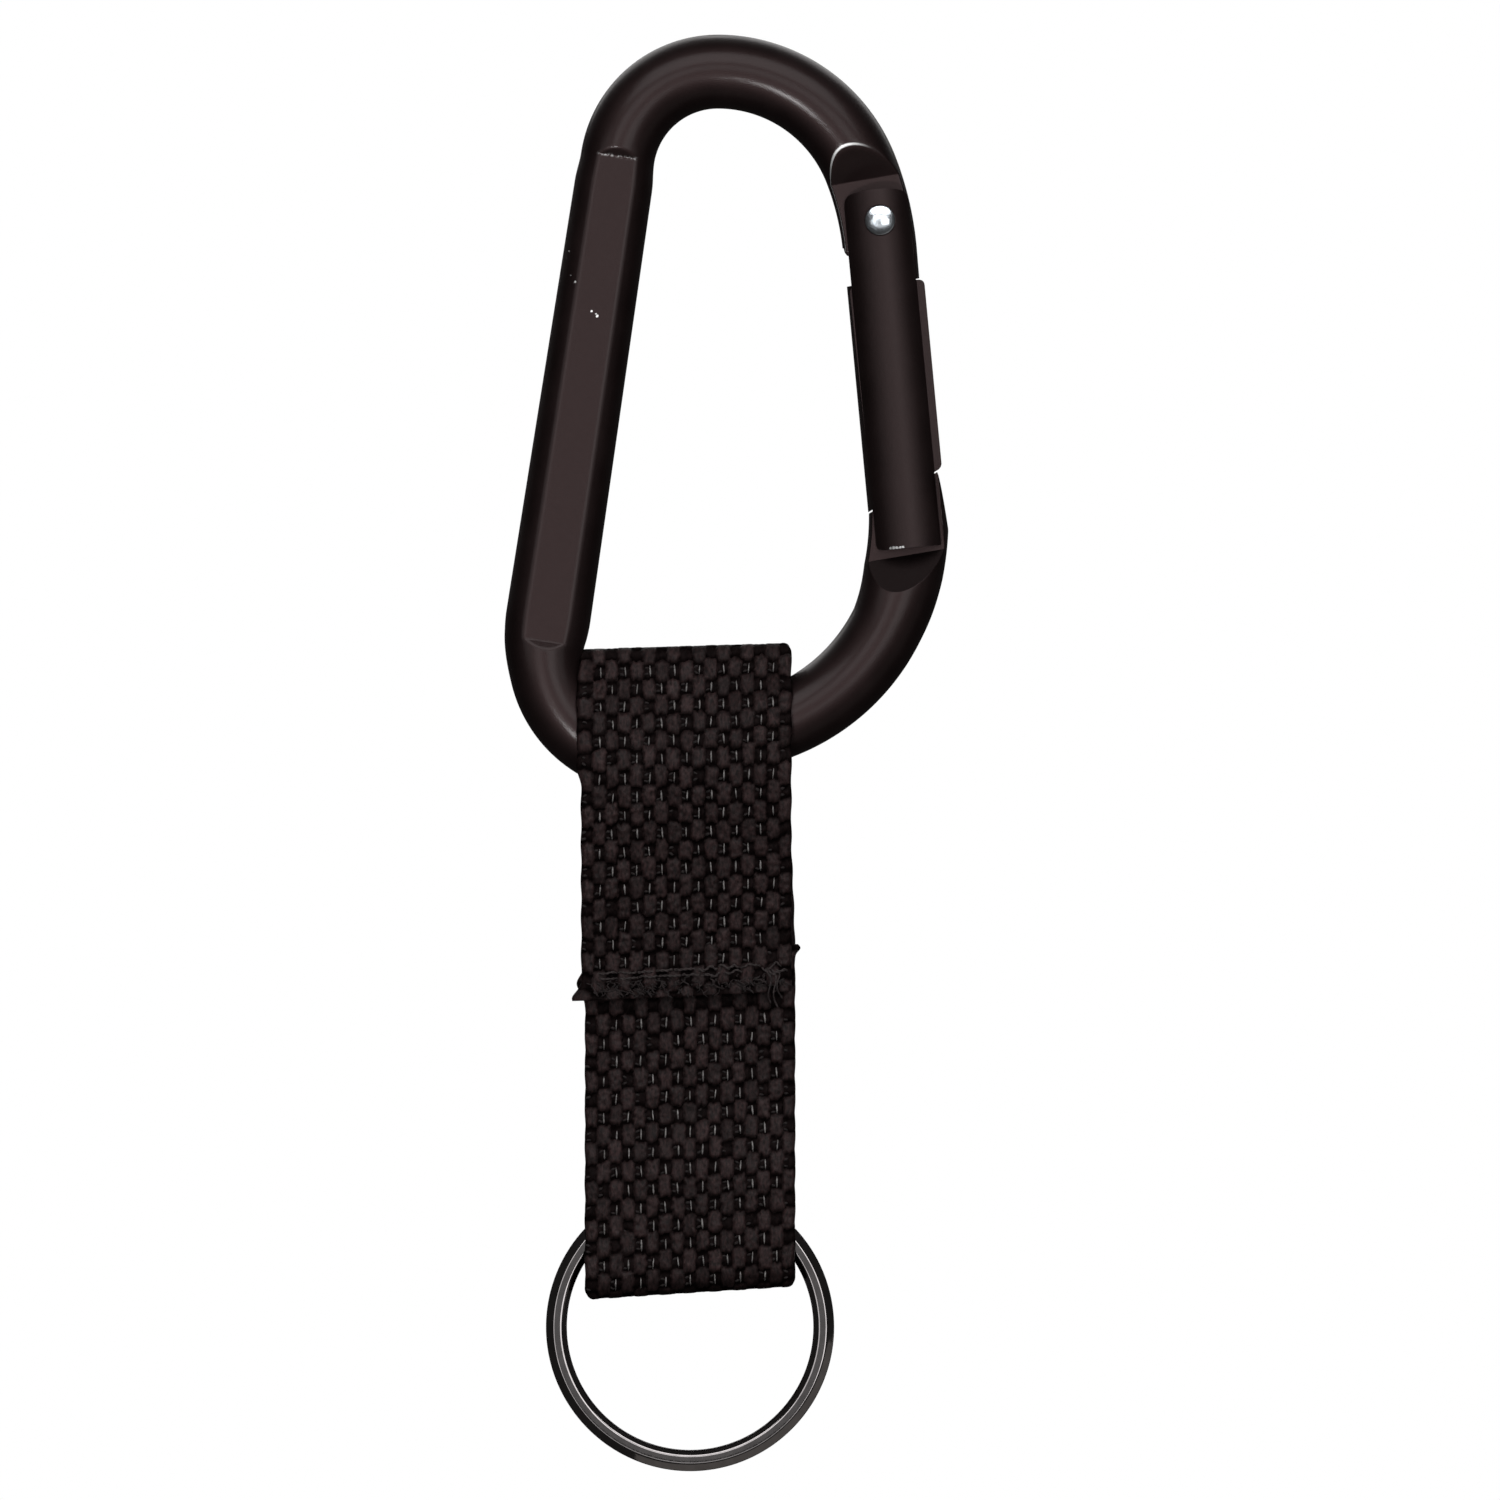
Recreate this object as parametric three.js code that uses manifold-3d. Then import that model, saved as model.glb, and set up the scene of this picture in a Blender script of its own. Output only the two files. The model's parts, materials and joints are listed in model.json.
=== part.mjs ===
// A keyring on a carabiner: a spring-gated D of 8 mm rod, a loop of sewn webbing and a split ring.
//
// Millimetres, +Z up, the D in the XZ plane, its front facing -Y. The origin is the top of the D's
// opening, the point that the whole thing hangs from.
import * as THREE from 'three';
import { mergeVertices } from 'three/addons/utils/BufferGeometryUtils.js';
import Module from 'manifold-3d';

const wasm = await Module();
wasm.setup();

const DEGREE = Math.PI / 180;

// The rod and its route, from the top of the bow
const ROD_RADIUS = 4;
const ROD_SIDES = 28;
const BOW_LEFT = { radius: 10.95, turn: 81.4 };
const BOW_RIGHT = { radius: 16.6, turn: 68.8 };
const HINGE_REACH = { radius: 32.1, turn: 16.5 };
const HINGE_TAIL = 5;
const SPINE_LENGTH = 52.1;
const FOOT_LEFT = { radius: 11.55, turn: 115.6 };
const FOOT_LENGTH = 9.6;
const FOOT_RIGHT = { radius: 21.4, turn: 58.6 };
const NOSE_REACH = { radius: 30, turn: 26 };
const ARC_STEP = 6;

// How far the cutting shapes reach past the metal
const CUT_OUT = 9;
const CUT_DOWN = 20;

// Pressing the flats spreads the rod sideways
const SPINE_SPREAD_TOP = 1.05;
const SPINE_SPREAD_FOOT = 1.155;
const NOSE_SPREAD = 1.045;
const SPREAD_RAMP = 3;
const SPREAD_PAST_SPINE = 2.5;
const SPINE_FLAT_Y = 3.42;
const SPINE_FLAT_LENGTH = 52.9;
const SPINE_FLAT_TOP = -5.25;
const SPINE_SHOULDER = 0.9;
const PRESS_WIDTH = 30;
const PRESS_REACH = 20;
const PRESS_TOP = 9;

// The tangs that the gate closes over
const TANG_HALF = 1.65;
const TANG_SHOULDER = 3.8;
const HINGE_FOOT = { x: 15.7, z: -7.8, tilt: 9.8 };
const NOSE_FOOT = { x: 19.8, z: -48.4, tilt: 9.5 };

// The gate, measured from its rivet: down its axis, and outwards across it
const RIVET_X = 17.5;
const RIVET_Z = -12.2;
const GATE_LEAN = 5.4;
const GATE_RADIUS = 4;
const GATE_SHIFT = -0.2;
const GATE_SIDES = 32;
const GATE_CROWN = 3.35;
const GATE_LENGTH = 35.45;
const GATE_CORNER = 1.3;
const GATE_DOME = 0.25;
const SLOT_HALF = 1.95;
const CHEEK_HALF = Math.sqrt(GATE_RADIUS ** 2 - SLOT_HALF ** 2);
const FIN_HALF = 1.85;
const FIN_INNER = 3.95;
const FIN_INNER_FOOT = 3.65;
const FIN_OUTER = 4.17;
const FIN_CORNER = 0.9;
const WEB_TOP = 6.7;
const WEB_END_OUTER = 27.1;
const WEB_END_INNER = 31.05;
const NOSE_GAP = 0.55;
const NOSE_TIP_OUT = 3.6;
const NOSE_EDGE_OUT = 4.27;
const NOSE_EDGE_DOWN = 34.2;
const NOSE_EDGE_BELLY = 0.1;

// The rivet
const SHANK_RADIUS = 1.2;
const RIVET_HOLE = 1.35;
const RIVET_HEAD_RADIUS = 1.48;
const RIVET_HEAD_HEIGHT = 0.85;
const RIVET_RIM = 0.15;
const SPOTFACE_RADIUS = 1.8;
const SPOTFACE_Y = 3.5;
const SPOTFACE_TOOL = 2;
const HEAD_LIFT = 0.1;

// The plunger, its spring and their bore in the gate
const HEEL_DROP = 3.5;
const HEEL_OUT = 4.15;
const HEEL_ROUND = 1;
const TOE_START = 1.2;
const TOE_OUT = 3.7;
const TOE_DROP = 6.15;
const BORE_RADIUS = 1.6;
const BORE_OFFSET = -0.6;
const BORE_END = 22;
const PLUNGER_RADIUS = 1.35;
const PLUNGER_LENGTH = 8.2;
const PLUNGER_GAP = 0.15;
const PLUNGER_ROUND = 0.5;
const PLUNGER_CHAMFER = 0.15;
const SPRING_WIRE = 0.25;
const SPRING_RADIUS = 1.05;
const SPRING_TURNS = 7;
const SPRING_STEPS = 14;
const SPRING_GAP = 0.3;
const SPRING_SIDES = 6;

// The webbing
const WEBBING = 1.4;
const STRAP_WIDTH = 22.6;
const UPPER_X = -3.4;
const LOWER_X = -3;
const LOOP_HALF = 4.35;
const LOOP_TOP = -58.3;
const NIP_WIDTH = 1.1;
const NIP_HALF = 4.2;
const SWING_Z = -68.5;
const SWING_INNER = 6.8;
const SWING_OUTER = 7.1;
const LEG_LEAN = 0.2;
const LEGS_MEET = -83.8;
const LAP_TOP = -90.6;
const LAP_END = -96.8;
const UPPER_END = -97.8;
const FLEX_Z = -99.5;
const PART_TOP = -110.2;
const PART_FULL = -115.5;
const FOLD_HALF = 1.5;
const FOLD_BOTTOM = -128.3;

// The seam's threads
const THREAD_RADIUS = 0.22;
const THREAD_LIFT = 0.4;
const STITCH_RISE = 0.12;
const SEAM_Z = -93.2;
const SEAM_LEFT = -13;
const SEAM_RIGHT = 6.4;
const STITCH = 1.9;
const STITCH_WANDER = 0.25;
const STITCH_WAVE = 1.7;
const BACK_TACK = 3;
const BACK_TACK_OUT = 0.6;
const THREAD_SIDES = 6;
const THREAD_STEPS = 60;

// The split ring
const RING_X = -3;
const RING_Z = -131.7;
const RING_MEAN = 14.45;
const RING_WIRE_WIDE = 2.25;
const RING_WIRE_DEEP = 1.08;
const RING_WIRE_ROUND = 0.35;
const RING_TURN_GAP = 0.14;
const RING_FRONT_END = 72;
const RING_LAP = 324;
const RING_STEP = 7;

const materials = {
  bodyBlack: new THREE.MeshStandardMaterial({ color: 0x1b1615, roughness: 0.42, metalness: 0.35 }),
  steel: new THREE.MeshStandardMaterial({ color: 0xc9cdd2, roughness: 0.18, metalness: 1 }),
  springSteel: new THREE.MeshStandardMaterial({ color: 0x8f9296, roughness: 0.35, metalness: 1 }),
  webbing: new THREE.MeshStandardMaterial({ color: 0x161312, roughness: 0.8, metalness: 0 }),
  thread: new THREE.MeshStandardMaterial({ color: 0x201b1b, roughness: 0.7, metalness: 0 }),
  blackNickel: new THREE.MeshStandardMaterial({ color: 0x3b3836, roughness: 0.2, metalness: 1 }),
};

// Solids

function toSolid(geometry) {
  const bare = geometry.clone();
  bare.deleteAttribute('normal');
  bare.deleteAttribute('uv');
  const merged = mergeVertices(bare, 1e-4);
  const corners = merged.index.array;
  const kept = [];
  for (let i = 0; i < corners.length; i += 3) {
    const [a, b, c] = corners.slice(i, i + 3);
    if (a !== b && b !== c && c !== a) kept.push(a, b, c);
  }
  return new wasm.Manifold(new wasm.Mesh({
    numProp: 3,
    vertProperties: new Float32Array(merged.attributes.position.array),
    triVerts: new Uint32Array(kept),
  }));
}

function toGeometry(solid) {
  const { vertProperties, triVerts } = solid.getMesh();
  const geometry = new THREE.BufferGeometry();
  geometry.setAttribute('position', new THREE.BufferAttribute(new Float32Array(vertProperties), 3));
  geometry.setIndex(new THREE.BufferAttribute(new Uint32Array(triVerts), 1));
  geometry.computeVertexNormals();
  return geometry;
}

function named(name, solid, material) {
  const mesh = new THREE.Mesh(toGeometry(solid), material);
  mesh.name = name;
  return mesh;
}

// An outline drawn as seen from the front, x right and y up, given depth from y = from to y = to.
function plate(shape, from, to) {
  const geometry = new THREE.ExtrudeGeometry(shape, {
    depth: to - from, bevelEnabled: false, curveSegments: 8,
  });
  geometry.rotateX(Math.PI / 2);
  geometry.translate(0, to, 0);
  return toSolid(geometry);
}

// A bar along Y, through the point (x, z).
function pinHole(radius, x, z, length, sides = 24) {
  const geometry = new THREE.CylinderGeometry(radius, radius, length, sides);
  geometry.translate(x, 0, z);
  return toSolid(geometry);
}

function circleShape(radius, sides) {
  const shape = new THREE.Shape();
  for (let i = 0; i < sides; i += 1) {
    const angle = (2 * Math.PI * i) / sides;
    const point = [radius * Math.cos(angle), radius * Math.sin(angle)];
    if (i === 0) shape.moveTo(...point);
    else shape.lineTo(...point);
  }
  shape.closePath();
  return shape;
}

// Bends a straight bar of the given section over a row of frames { at, across, up, spread }.
function sweep(section, frames) {
  const steps = frames.length - 1;
  const geometry = new THREE.ExtrudeGeometry(section, {
    depth: steps, steps, bevelEnabled: false, curveSegments: 4,
  });
  const position = geometry.attributes.position;
  const point = new THREE.Vector3();
  for (let i = 0; i < position.count; i += 1) {
    const frame = frames[Math.round(position.getZ(i))];
    point.copy(frame.at);
    point.addScaledVector(frame.across, position.getX(i) * (frame.spread ?? 1));
    point.addScaledVector(frame.up, position.getY(i));
    position.setXYZ(i, point.x, point.y, point.z);
  }
  return toSolid(geometry);
}

// The rod's route

// Stations along arcs and straights in the XZ plane. heading is in degrees, turn is positive to the
// left, and a straight has no turn.
function walk(x, z, heading, runs) {
  const stations = [{ x, z, heading, distance: 0 }];
  for (const run of runs) {
    const last = stations[stations.length - 1];
    const side = Math.sign(run.turn ?? 0);
    const steps = run.turn ? Math.ceil(Math.abs(run.turn) / ARC_STEP) : run.steps;
    for (let i = 1; i <= steps; i += 1) {
      const share = i / steps;
      const from = last.heading * DEGREE;
      const to = from + (run.turn ?? 0) * DEGREE * share;
      const length = run.turn ? run.radius * Math.abs(run.turn) * DEGREE : run.length;
      const reach = run.length * share;
      stations.push({
        x: side
          ? last.x + side * run.radius * (Math.sin(to) - Math.sin(from))
          : last.x + reach * Math.cos(from),
        z: side
          ? last.z - side * run.radius * (Math.cos(to) - Math.cos(from))
          : last.z + reach * Math.sin(from),
        heading: to / DEGREE,
        distance: last.distance + length * share,
      });
    }
  }
  return stations;
}

function spreadAt(station, spineStart, noseStart) {
  const { distance } = station;
  const spineEnd = spineStart + SPINE_LENGTH + SPREAD_PAST_SPINE;
  if (distance > spineStart && distance < spineEnd) {
    const share = (distance - spineStart) / (spineEnd - spineStart);
    const ends = Math.min(1, (distance - spineStart) / SPREAD_RAMP, (spineEnd - distance) / SPREAD_RAMP);
    const full = SPINE_SPREAD_TOP + (SPINE_SPREAD_FOOT - SPINE_SPREAD_TOP) * share;
    return 1 + (full - 1) * ends;
  }
  const rise = THREE.MathUtils.clamp((distance - noseStart) / (2 * SPREAD_RAMP), 0, 1);
  return 1 + (NOSE_SPREAD - 1) * rise;
}

function rodFrames() {
  const right = walk(0, ROD_RADIUS, 0, [
    { ...BOW_RIGHT, turn: -BOW_RIGHT.turn },
    { ...HINGE_REACH, turn: -HINGE_REACH.turn },
    { length: HINGE_TAIL, steps: 1 },
  ]);
  const left = walk(0, ROD_RADIUS, 180, [
    BOW_LEFT,
    { length: SPINE_LENGTH, steps: 10 },
    FOOT_LEFT,
    { length: FOOT_LENGTH, steps: 1 },
    FOOT_RIGHT,
    NOSE_REACH,
  ]);
  const spineStart = BOW_LEFT.radius * BOW_LEFT.turn * DEGREE;
  const noseStart = spineStart + SPINE_LENGTH + FOOT_LENGTH - 2 * SPREAD_RAMP
    + (FOOT_LEFT.radius * FOOT_LEFT.turn + FOOT_RIGHT.radius * FOOT_RIGHT.turn) * DEGREE;
  const back = right.slice(1).reverse().map((s) => ({ ...s, heading: s.heading + 180, distance: 0 }));
  return [...back, ...left].map((station) => {
    const angle = station.heading * DEGREE;
    const along = new THREE.Vector3(Math.cos(angle), 0, Math.sin(angle));
    const up = new THREE.Vector3(0, 1, 0);
    return {
      at: new THREE.Vector3(station.x, 0, station.z),
      across: new THREE.Vector3().crossVectors(up, along),
      up,
      spread: spreadAt(station, spineStart, noseStart),
    };
  });
}

// Gate coordinates: (out, down) from the rivet, as a point in the XZ plane.
function fromGate(out, down) {
  const lean = GATE_LEAN * DEGREE;
  return new THREE.Vector2(
    RIVET_X + out * Math.cos(lean) + down * Math.sin(lean),
    RIVET_Z + out * Math.sin(lean) - down * Math.cos(lean),
  );
}

// What a press takes off the rod on one side of the D, as a solid to cut away. The profile runs
// (along, depth) from the foot point, along the given heading, and the face is -1 at the front.
function pressCut(foot, heading, face, profile) {
  const shape = new THREE.Shape(profile.map(([along, depth]) => new THREE.Vector2(along, depth)));
  const geometry = new THREE.ExtrudeGeometry(shape, { depth: PRESS_WIDTH, bevelEnabled: false });
  geometry.translate(0, 0, -PRESS_WIDTH / 2);
  const along = new THREE.Vector3(Math.cos(heading * DEGREE), 0, Math.sin(heading * DEGREE));
  const depth = new THREE.Vector3(0, face, 0);
  const across = new THREE.Vector3().crossVectors(along, depth);
  geometry.applyMatrix4(new THREE.Matrix4().makeBasis(along, depth, across));
  geometry.translate(foot.x, 0, foot.z);
  return toSolid(geometry);
}

// A tang is level beyond its foot line and has one shoulder, climbing away from it.
function tangProfile() {
  const climb = ROD_RADIUS - TANG_HALF;
  return [
    [0, TANG_HALF],
    [PRESS_REACH, TANG_HALF],
    [PRESS_REACH, PRESS_TOP],
    [-2 * TANG_SHOULDER, PRESS_TOP],
    [-2 * TANG_SHOULDER, TANG_HALF + 2 * climb],
  ];
}

// The spine's flat has a short shoulder at each end.
function flatProfile() {
  const climb = ROD_RADIUS - SPINE_FLAT_Y;
  return [
    [0, SPINE_FLAT_Y],
    [SPINE_FLAT_LENGTH, SPINE_FLAT_Y],
    [SPINE_FLAT_LENGTH + 2 * SPINE_SHOULDER, SPINE_FLAT_Y + 2 * climb],
    [SPINE_FLAT_LENGTH + 2 * SPINE_SHOULDER, PRESS_TOP],
    [-2 * SPINE_SHOULDER, PRESS_TOP],
    [-2 * SPINE_SHOULDER, SPINE_FLAT_Y + 2 * climb],
  ];
}

// How far down the gate the web between its slots ends, at a distance out from its axis.
function webEnd(out) {
  const share = (out + FIN_INNER) / (FIN_OUTER + FIN_INNER);
  return THREE.MathUtils.lerp(WEB_END_INNER, WEB_END_OUTER, share);
}

// The part of the hinge tang that is cut away, leaving a rounded heel for the plunger to push on.
function hingeEndCut() {
  const shape = new THREE.Shape();
  const at = (out, down) => Object.values(fromGate(out, down));
  shape.moveTo(...at(-CUT_OUT, HEEL_DROP - HEEL_ROUND));
  shape.lineTo(...at(-HEEL_OUT, HEEL_DROP - HEEL_ROUND));
  shape.quadraticCurveTo(...at(-HEEL_OUT, HEEL_DROP), ...at(-HEEL_OUT + HEEL_ROUND, HEEL_DROP));
  shape.lineTo(...at(TOE_START, HEEL_DROP));
  shape.lineTo(...at(TOE_OUT, TOE_DROP));
  shape.lineTo(...at(CUT_OUT, TOE_DROP));
  shape.lineTo(...at(CUT_OUT, CUT_DOWN));
  shape.lineTo(...at(-CUT_OUT, CUT_DOWN));
  shape.closePath();
  return plate(shape, -CUT_OUT, CUT_OUT);
}

// What is cut away above the nose: its top lies along the web's end, and its outer edge is rounded.
function noseEndCut() {
  const shape = new THREE.Shape();
  const at = (out, down) => Object.values(fromGate(out, down));
  shape.moveTo(...at(-CUT_OUT, webEnd(-CUT_OUT) + NOSE_GAP));
  shape.lineTo(...at(-CUT_OUT, CUT_DOWN));
  shape.lineTo(...at(CUT_OUT, CUT_DOWN));
  shape.lineTo(...at(CUT_OUT, NOSE_EDGE_DOWN));
  shape.lineTo(...at(NOSE_EDGE_OUT, NOSE_EDGE_DOWN));
  shape.quadraticCurveTo(
    ...at(NOSE_EDGE_OUT - NOSE_EDGE_BELLY, (NOSE_EDGE_DOWN + webEnd(NOSE_TIP_OUT)) / 2 - 1),
    ...at(NOSE_TIP_OUT, webEnd(NOSE_TIP_OUT) + NOSE_GAP),
  );
  shape.closePath();
  return plate(shape, -CUT_OUT, CUT_OUT);
}

function carabinerBody() {
  const rod = sweep(circleShape(ROD_RADIUS, ROD_SIDES), rodFrames());
  const spineTop = { x: -BOW_LEFT.radius * Math.sin(BOW_LEFT.turn * DEGREE), z: SPINE_FLAT_TOP };
  const cuts = [-1, 1].flatMap((face) => [
    pressCut(spineTop, 180 + BOW_LEFT.turn, face, flatProfile()),
    pressCut(HINGE_FOOT, HINGE_FOOT.tilt - 90, face, tangProfile()),
    pressCut(NOSE_FOOT, NOSE_FOOT.tilt + 90, face, tangProfile()),
  ]);
  cuts.push(hingeEndCut(), noseEndCut(), pinHole(RIVET_HOLE, RIVET_X, RIVET_Z, 4 * ROD_RADIUS));
  return cuts.reduce((solid, cut) => solid.subtract(cut), rod);
}

// The gate and what is in it, in gate coordinates: x outwards, z up the gate, the rivet at 0

function roundedShape(corners) {
  const shape = new THREE.Shape();
  corners.forEach(([x, y, radius = 0], i) => {
    const here = new THREE.Vector2(x, y);
    const before = corners[(i + corners.length - 1) % corners.length];
    const after = corners[(i + 1) % corners.length];
    const back = new THREE.Vector2(before[0] - x, before[1] - y).setLength(radius);
    const on = new THREE.Vector2(after[0] - x, after[1] - y).setLength(radius);
    const start = here.clone().add(back);
    if (i === 0) shape.moveTo(start.x, start.y);
    else shape.lineTo(start.x, start.y);
    if (radius > 0) shape.quadraticCurveTo(x, y, x + on.x, y + on.y);
  });
  shape.closePath();
  return shape;
}

function gateSolid() {
  const side = 2 * GATE_RADIUS;
  const bar = new THREE.CylinderGeometry(
    GATE_RADIUS, GATE_RADIUS, GATE_LENGTH + 2 * GATE_CROWN, GATE_SIDES,
  );
  bar.rotateX(Math.PI / 2);
  bar.translate(GATE_SHIFT, 0, -GATE_LENGTH / 2);
  const left = GATE_SHIFT - CHEEK_HALF;
  const right = GATE_SHIFT + CHEEK_HALF;
  const shoulder = GATE_CROWN - GATE_DOME;
  const outline = new THREE.Shape();
  outline.moveTo(right - GATE_CORNER, shoulder);
  outline.quadraticCurveTo(GATE_SHIFT, GATE_CROWN + GATE_DOME, left + GATE_CORNER, shoulder);
  outline.quadraticCurveTo(left, shoulder - GATE_DOME, left, GATE_CROWN - GATE_CORNER);
  outline.lineTo(-side, GATE_CROWN - GATE_CORNER);
  outline.lineTo(-side, GATE_CORNER / 2 - GATE_LENGTH);
  outline.lineTo(left, GATE_CORNER / 2 - GATE_LENGTH);
  outline.quadraticCurveTo(left, -GATE_LENGTH, left + GATE_CORNER / 2, -GATE_LENGTH);
  outline.lineTo(side, -GATE_LENGTH);
  outline.lineTo(side, GATE_CROWN - GATE_CORNER);
  outline.lineTo(right, GATE_CROWN - GATE_CORNER);
  outline.quadraticCurveTo(right, shoulder - GATE_DOME, right - GATE_CORNER, shoulder);
  outline.closePath();
  const fins = roundedShape([
    [-FIN_INNER, -WEB_TOP, FIN_CORNER],
    [-FIN_INNER_FOOT, -WEB_END_INNER],
    [FIN_OUTER, -WEB_END_OUTER, FIN_CORNER],
    [FIN_OUTER, -WEB_TOP, FIN_CORNER],
  ]);
  const upperSlot = roundedShape([
    [-side, -WEB_TOP], [side, -WEB_TOP], [side, 2 * GATE_CROWN], [-side, 2 * GATE_CROWN],
  ]);
  const lowerSlot = roundedShape([
    [-CUT_OUT, -webEnd(-CUT_OUT)], [-CUT_OUT, -CUT_OUT - GATE_LENGTH],
    [CUT_OUT, -CUT_OUT - GATE_LENGTH], [CUT_OUT, -webEnd(CUT_OUT)],
  ]);
  const bore = new THREE.CylinderGeometry(BORE_RADIUS, BORE_RADIUS, BORE_END, 20);
  bore.rotateX(Math.PI / 2);
  bore.translate(BORE_OFFSET, 0, -BORE_END / 2);
  let gate = toSolid(bar).intersect(plate(outline, -side, side));
  gate = gate.add(plate(fins, -FIN_HALF, FIN_HALF));
  gate = gate.subtract(plate(upperSlot, -SLOT_HALF, SLOT_HALF));
  gate = gate.subtract(plate(lowerSlot, -SLOT_HALF, SLOT_HALF));
  gate = gate.subtract(toSolid(bore));
  gate = gate.subtract(pinHole(RIVET_HOLE, 0, 0, 4 * GATE_RADIUS));
  for (const face of [-1, 1]) {
    const spotface = new THREE.CylinderGeometry(
      SPOTFACE_RADIUS, SPOTFACE_RADIUS, SPOTFACE_TOOL, 24,
    );
    spotface.translate(0, face * (SPOTFACE_Y + SPOTFACE_TOOL / 2), 0);
    gate = gate.subtract(toSolid(spotface));
  }
  return gate;
}

function rivetSolid() {
  const seat = SPOTFACE_Y + HEAD_LIFT;
  const half = [new THREE.Vector2(SHANK_RADIUS, 0), new THREE.Vector2(SHANK_RADIUS, seat)];
  const steps = 6;
  for (let i = 0; i <= steps; i += 1) {
    const angle = (Math.PI / 2) * (i / steps);
    half.push(new THREE.Vector2(
      i === steps ? 0 : RIVET_HEAD_RADIUS * Math.cos(angle),
      seat + RIVET_RIM + (RIVET_HEAD_HEIGHT - RIVET_RIM) * Math.sin(angle),
    ));
  }
  half.splice(2, 0, new THREE.Vector2(RIVET_HEAD_RADIUS, seat));
  const mirrored = half.slice(1).reverse().map((p) => new THREE.Vector2(p.x, -p.y));
  return toSolid(new THREE.LatheGeometry([...mirrored, ...half.slice(1)], 24));
}

function plungerSolid() {
  const top = -(HEEL_DROP + PLUNGER_GAP);
  const profile = [
    new THREE.Vector2(0, -PLUNGER_LENGTH),
    new THREE.Vector2(PLUNGER_RADIUS, -PLUNGER_LENGTH),
    new THREE.Vector2(PLUNGER_RADIUS, -PLUNGER_ROUND),
    new THREE.Vector2(PLUNGER_RADIUS - PLUNGER_CHAMFER, -PLUNGER_CHAMFER),
    new THREE.Vector2(PLUNGER_RADIUS - PLUNGER_ROUND, 0),
    new THREE.Vector2(0, 0),
  ];
  const geometry = new THREE.LatheGeometry(profile, 20);
  geometry.rotateX(Math.PI / 2);
  geometry.translate(BORE_OFFSET, 0, top);
  return toSolid(geometry);
}

function springSolid() {
  const top = HEEL_DROP + PLUNGER_GAP + PLUNGER_LENGTH + SPRING_GAP + SPRING_WIRE;
  const length = BORE_END - SPRING_GAP - SPRING_WIRE - top;
  const count = SPRING_TURNS * SPRING_STEPS;
  const pitch = length / (SPRING_TURNS * 2 * Math.PI);
  const frames = [];
  for (let i = 0; i <= count; i += 1) {
    const angle = (2 * Math.PI * i) / SPRING_STEPS;
    const across = new THREE.Vector3(Math.cos(angle), Math.sin(angle), 0);
    const along = new THREE.Vector3(
      -SPRING_RADIUS * Math.sin(angle), SPRING_RADIUS * Math.cos(angle), -pitch,
    ).normalize();
    frames.push({
      at: new THREE.Vector3(BORE_OFFSET, 0, -top - (length * i) / count)
        .addScaledVector(across, SPRING_RADIUS),
      across,
      up: new THREE.Vector3().crossVectors(along, across),
    });
  }
  return sweep(circleShape(SPRING_WIRE, SPRING_SIDES), frames);
}

// The webbing, drawn as seen from the -X side: y across, z up, and given its width along X

function strapSolid(shape, centre) {
  const geometry = new THREE.ExtrudeGeometry(shape, {
    depth: STRAP_WIDTH, bevelEnabled: false, curveSegments: 12,
  });
  geometry.translate(0, 0, -STRAP_WIDTH / 2);
  geometry.applyMatrix4(new THREE.Matrix4().makeBasis(
    new THREE.Vector3(0, 1, 0), new THREE.Vector3(0, 0, 1), new THREE.Vector3(1, 0, 0),
  ));
  geometry.translate(centre, 0, 0);
  return toSolid(geometry);
}

// Where a leg at y = half meets a circle about the swing axis, below it.
function underSwing(half, radius) {
  return SWING_Z - Math.sqrt(radius * radius - half * half);
}

// The loop over the rod. Its legs end on a circle about the axis that the strap swings on, and its
// fold is nipped in beside the spine.
function topLoop() {
  const outer = LOOP_HALF + WEBBING;
  const bend = LOOP_TOP - outer;
  const shape = new THREE.Shape();
  shape.moveTo(outer, underSwing(outer, SWING_INNER));
  shape.lineTo(outer, bend);
  shape.absarc(0, bend, outer, 0, Math.PI, false);
  shape.lineTo(-outer, underSwing(outer, SWING_INNER));
  shape.lineTo(-LOOP_HALF, underSwing(LOOP_HALF, SWING_INNER));
  shape.lineTo(-LOOP_HALF, bend);
  shape.absarc(0, bend, LOOP_HALF, Math.PI, 0, true);
  shape.lineTo(LOOP_HALF, underSwing(LOOP_HALF, SWING_INNER));
  shape.closePath();
  const nip = new THREE.BoxGeometry(2 * NIP_WIDTH, 2 * NIP_HALF, 2 * outer);
  nip.translate(UPPER_X - STRAP_WIDTH / 2, 0, LOOP_TOP);
  return strapSolid(shape, UPPER_X).subtract(toSolid(nip));
}

// Two legs that close under the rod, then two layers, and the lap where the strip's ends are sewn.
function upperStrap() {
  const outer = LOOP_HALF + WEBBING - LEG_LEAN;
  const inner = LOOP_HALF - LEG_LEAN;
  const legTop = underSwing(outer, SWING_OUTER);
  const legInside = underSwing(inner, SWING_OUTER);
  const shape = new THREE.Shape();
  shape.moveTo(outer, legTop);
  shape.lineTo(inner, legInside);
  shape.lineTo(0, LEGS_MEET);
  shape.lineTo(-inner, legInside);
  shape.lineTo(-outer, legTop);
  shape.lineTo(-WEBBING, LEGS_MEET - WEBBING / 2);
  shape.lineTo(-WEBBING, LAP_TOP + WEBBING);
  shape.lineTo(-2 * WEBBING, LAP_TOP);
  shape.lineTo(-2 * WEBBING, LAP_END);
  shape.lineTo(-WEBBING, LAP_END);
  shape.lineTo(-WEBBING, UPPER_END);
  shape.lineTo(WEBBING, UPPER_END);
  shape.lineTo(WEBBING, LEGS_MEET - WEBBING / 2);
  shape.closePath();
  return strapSolid(shape, UPPER_X);
}

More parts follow.
